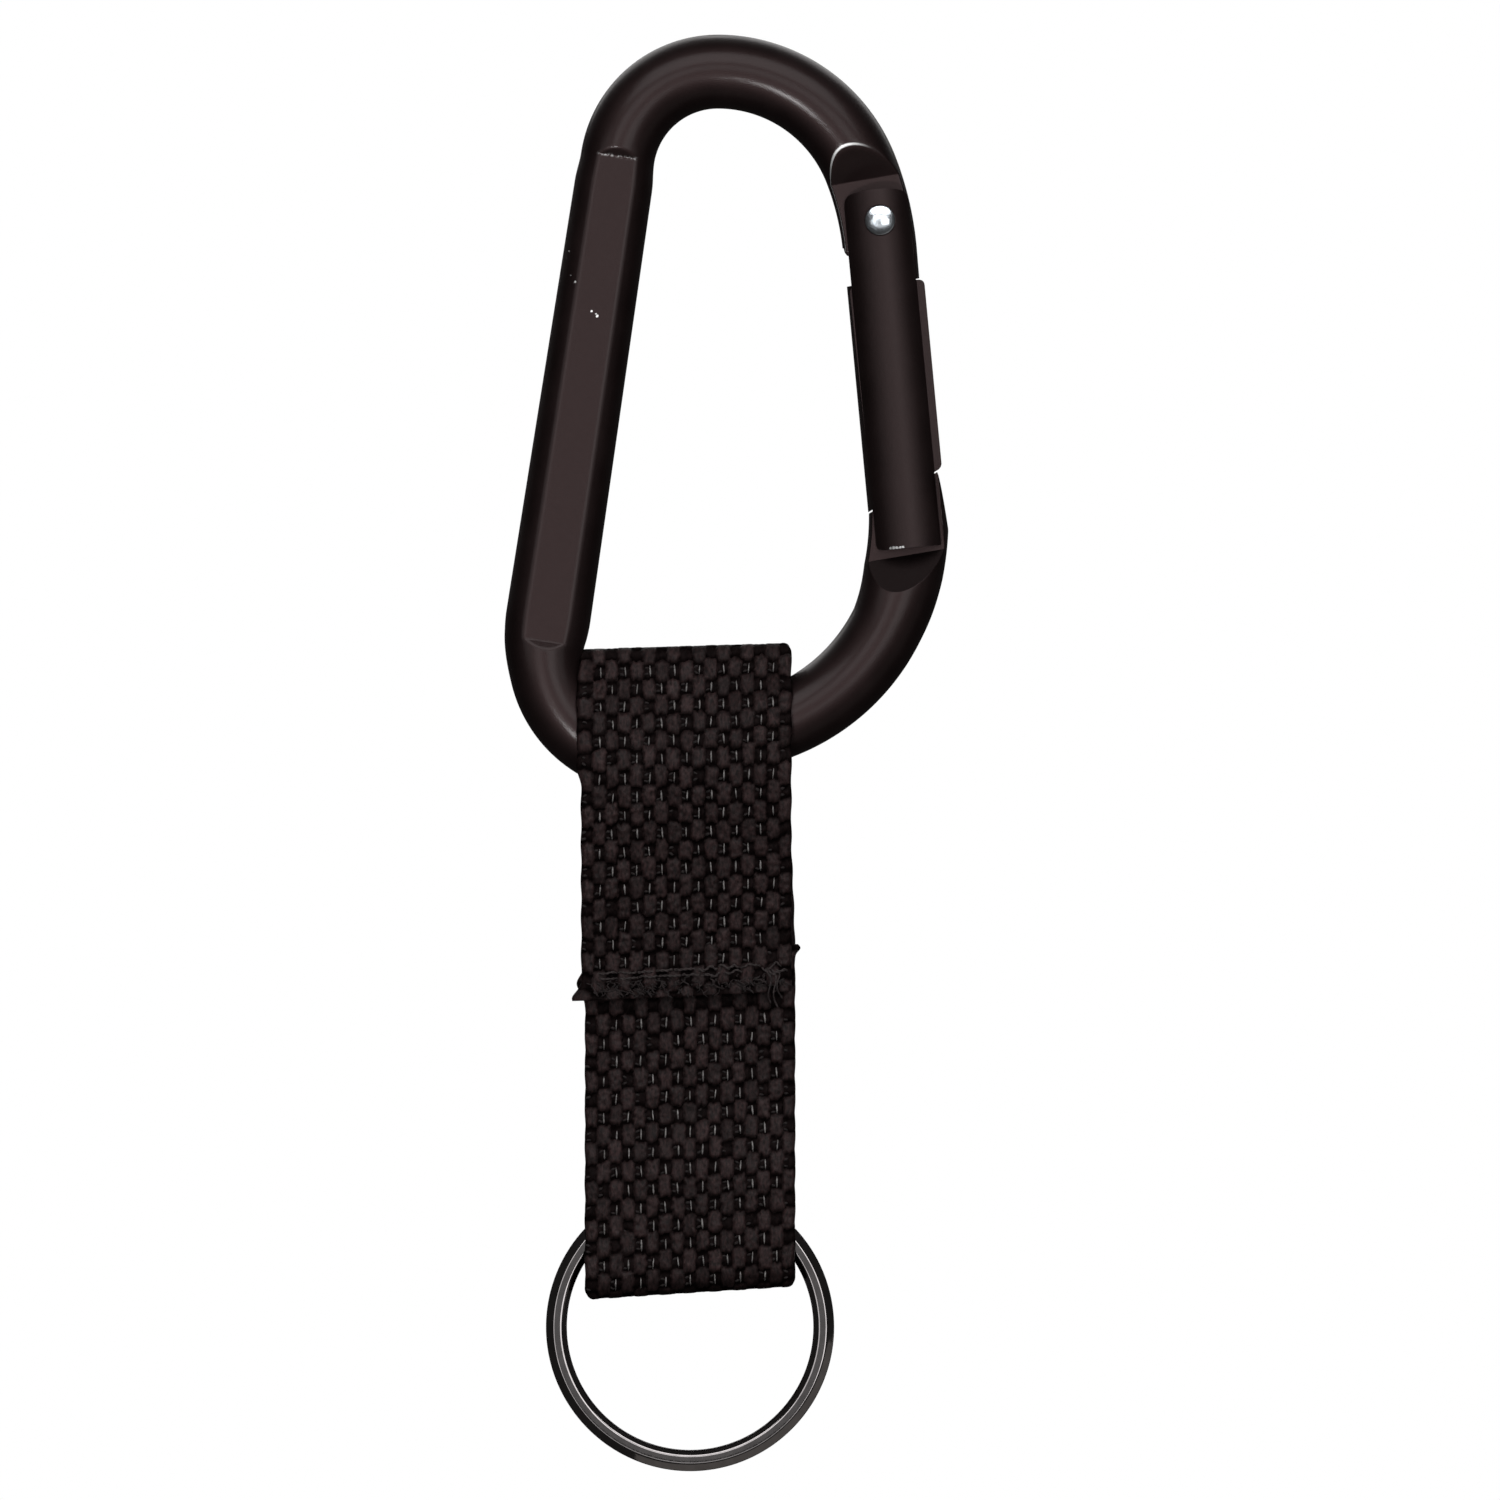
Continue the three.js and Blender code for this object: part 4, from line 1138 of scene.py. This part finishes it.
def stitches(face_y, outwards, levels, left, right, tangle_from):
    """Rows of stitches on one face, that get untidy to the right of tangle_from."""
    paths, radii = [], []
    for number, level in enumerate(levels):
        x = left
        while x < right:
            long = rng.uniform(1.9, 2.5)
            t = np.linspace(0, 1, 9)
            loose = smooth_step(tangle_from - 2, tangle_from + 2, x)
            wander = rng.normal(0, 0.09 + 0.3 * loose, 9)
            wander[[0, -1]] *= 0.3
            wander = np.convolve(wander, [0.25, 0.5, 0.25], "same")
            arch = np.sin(np.pi * t) ** 0.6
            px = x + long * t
            py = face_y + outwards * (0.42 * arch - 0.15)
            pz = level + shear(SEAM) * (px - UPPER_X) + wander
            if rng.random() > 0.3 * number:
                paths.append(np.stack([px, py, pz], axis=1))
                radii.append(rng.uniform(0.1, 0.15))
            x += long + 0.05
    return paths, radii


def ply(path, radius, turns_per_mm=0.9):
    """Two strands twisted round a path, so that the thread shows its ply."""
    fine_t = np.linspace(0, len(path) - 1, max(12, 4 * len(path)))
    fine = sampled(fine_t, np.arange(len(path)), path)
    gone = lengths_along(fine)
    strands = []
    for phase in (0, math.pi):
        angle = phase + 2 * math.pi * turns_per_mm * gone
        strand = fine.copy()
        strand[:, 1] += 0.55 * radius * np.cos(angle)
        strand[:, 2] += 0.55 * radius * np.sin(angle)
        strands.append(strand)
    return strands


FRONT_FACE = UPPER_PATH[0][0] - SKIN - FLOAT_HIGH + 0.08
BACK_FACE = UPPER_PATH[-1][0] + SKIN + FLOAT_HIGH - 0.08
front_paths, front_radii = stitches(FRONT_FACE, -1, (-93.0, -93.62), -13.1, 5.6, -3)
for x, drop in ((5.3, 3.4), (5.9, 3.9), (6.3, 2.9)):
    t = np.linspace(0, 1, 12)
    front_paths.append(np.stack([
        x + 0.5 * t + 0.25 * np.sin(7 * t + x),
        FRONT_FACE - 0.12 + 0.9 * smooth_step(0.6, 0.95, t),
        -93.0 - drop * t + 0.2 * np.sin(5 * t),
    ], axis=1))
    front_radii.append(0.13)


def make_stitching(name, paths, radii):
    strands, sizes = [], []
    for path, radius in zip(paths, radii):
        for strand in ply(path, radius):
            strands.append(strand)
            sizes.append(radius * 0.62)
    return tubes(name, strands, sizes, sides=7)


front_stitching = make_stitching("front_stitching", front_paths, front_radii)
finish_piece(front_stitching, "strap_upper", thread_look, "thread_black", "needle_thread")
back_paths, back_radii = stitches(BACK_FACE, 1, (-93.0, -93.5), -13.1, 6.2, 30)
back_stitching = make_stitching("back_stitching", back_paths, back_radii)
finish_piece(back_stitching, "strap_upper", thread_look, "thread_black", "bobbin_thread")


FILAMENTS = 190


def make_fray():
    """Cut filaments that stand out of the strip's front end."""
    paths, radii = [], []
    for _ in range(FILAMENTS):
        x = rng.uniform(-13.6, 7.2)
        z = rng.uniform(-95.3, -93.9) + shear(SEAM) * (x - UPPER_X)
        t = np.linspace(0, 1, 7)
        lean = rng.normal(0, 0.55)
        fall = rng.uniform(0.35, 1.0)
        lift = rng.uniform(0.05, 0.5)
        paths.append(np.stack([
            x + lean * t + 0.12 * np.sin(rng.uniform(4, 9) * t + rng.uniform(0, 6)),
            FRONT_FACE + 0.12 - lift * np.sin(np.pi * t * rng.uniform(0.5, 1.0)),
            z - fall * t * rng.choice([1, 1, -0.4]),
        ], axis=1))
        radii.append(rng.uniform(0.04, 0.09))
    return tubes("frayed_end", paths, radii, sides=5)


fray = give(make_fray(), fray_look)
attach(fray, "strap_upper")


# Floor, light and air

def panel(name, azimuth, rise, away, size, glow, colour=(1, 1, 1), level=None):
    """A soft light seen from the piece at an azimuth (0 is the camera's) and a rise, in degrees."""
    a, b = math.radians(azimuth), math.radians(rise)
    toward = Vector((math.sin(a) * math.cos(b), -math.cos(a) * math.cos(b), math.sin(b)))
    across = Vector(level) if level else Vector((math.cos(a), math.sin(a), 0))
    up = toward.cross(across).normalized()
    data = bpy.data.lights.new(name, "AREA")
    data.shape = "RECTANGLE"
    data.size, data.size_y = size
    data.energy = glow * math.pi * size[0] * size[1]
    data.color = colour
    light = bpy.data.objects.new(name, data)
    turn = Matrix((up.cross(toward), up, toward)).transposed()
    light.matrix_world = Matrix.Translation(middle + toward * away) @ turn.to_4x4()
    light.visible_camera = False
    bpy.context.scene.collection.objects.link(light)
    return light


def receivers(name, *objects):
    """A collection of the only objects that a light falls on."""
    lit = bpy.data.collections.new(name)
    for obj in objects:
        lit.objects.link(obj)
    return lit


def make_floor():
    """A wide pale disc, well below the hanging object."""
    radius, drop, sides = 2500, 300, 64
    level = cad_box[0].z / MM - drop
    points = [(radius * math.cos(a), radius * math.sin(a), level) for a in circle(sides)]
    floor = new_object("floor", points, [list(range(sides))])
    look, nodes, links = material("pale_floor")
    shader = nodes["Principled BSDF"]
    tint = ramp(nodes, links, noise(nodes, links, 3), [(0.3, grey(0.78)), (0.7, grey(0.82))])
    feed(links, shader.inputs, {
        "Base Color": tint, "Roughness": 0.8, "Emission Color": (1, 1, 1, 1), "Emission Strength": 0.75,
    })
    give(floor, look)
    floor.visible_glossy = False
    floor.visible_diffuse = False
    floor.visible_shadow = False


def make_air():
    """A white backdrop that gives the object itself only a little light."""
    world = bpy.data.worlds.new("studio")
    bpy.context.scene.world = world
    world.use_nodes = True
    nodes, links = world.node_tree.nodes, world.node_tree.links
    nodes.clear()
    seen, felt = nodes.new("ShaderNodeBackground"), nodes.new("ShaderNodeBackground")
    seen.inputs["Color"].default_value = (1, 1, 1, 1)
    felt.inputs["Color"].default_value = (1, 0.97, 0.95, 1)
    felt.inputs["Strength"].default_value = 0.03
    mixed, path = nodes.new("ShaderNodeMixShader"), nodes.new("ShaderNodeLightPath")
    links.new(path.outputs["Is Camera Ray"], mixed.inputs[0])
    links.new(felt.outputs[0], mixed.inputs[1])
    links.new(seen.outputs[0], mixed.inputs[2])
    links.new(mixed.outputs[0], nodes.new("ShaderNodeOutputWorld").inputs[0])


middle = (cad_box[0] + cad_box[1]) / 2
make_floor()
make_air()
# name, azimuth, rise, distance, size, glow
for row in (
    ("front_top", 2, 15, 1.4, (1.2, 0.35), 2.2),
    ("high_top", 2, 45, 1.4, (1.8, 0.8), 3.0),
    ("front_left", -19, -1, 1.4, (0.5, 0.55), 1.5),
    ("front_right", 20, -1, 1.4, (0.6, 0.55), 2.6),
    ("front_low", 0, -15, 1.4, (0.9, 0.3), 0.8),
    ("front_fill", 0, 0, 1.5, (0.36, 0.36), 0.22),
    ("back_left", 158, 36, 1.4, (0.9, 0.9), 1.8),
    ("back_right", 202, 36, 1.4, (0.9, 0.9), 1.8),
):
    panel(*row)
panel("low_card", 49, -52, 1.2, (2.6, 0.5), 0.16, (1.0, 0.95, 0.9), (0.875, 0, 0.485))
panel("back_fill", 205, 5, 1.4, (1.2, 1.2), 1.8).visible_glossy = False
for side in (-1, 1):
    panel("side", 75 * side, 12, 1.4, (1.2, 1.2), 0.7).visible_glossy = False
lamp = panel("lamp", -13.5, -18.4, 1.35, (0.26, 0.06), 165)
lamp.visible_diffuse = False
lamp.light_linking.receiver_collection = receivers("lit_by_lamp", rod)
metal = receivers("lit_by_wings", rod, gate)
for side in (-1, 1):
    wing = panel("wing", 45 * side, 6, 1.4, (0.6, 0.6), 1.0)
    wing.light_linking.receiver_collection = metal

bpy.context.scene.view_settings.view_transform = "Standard"
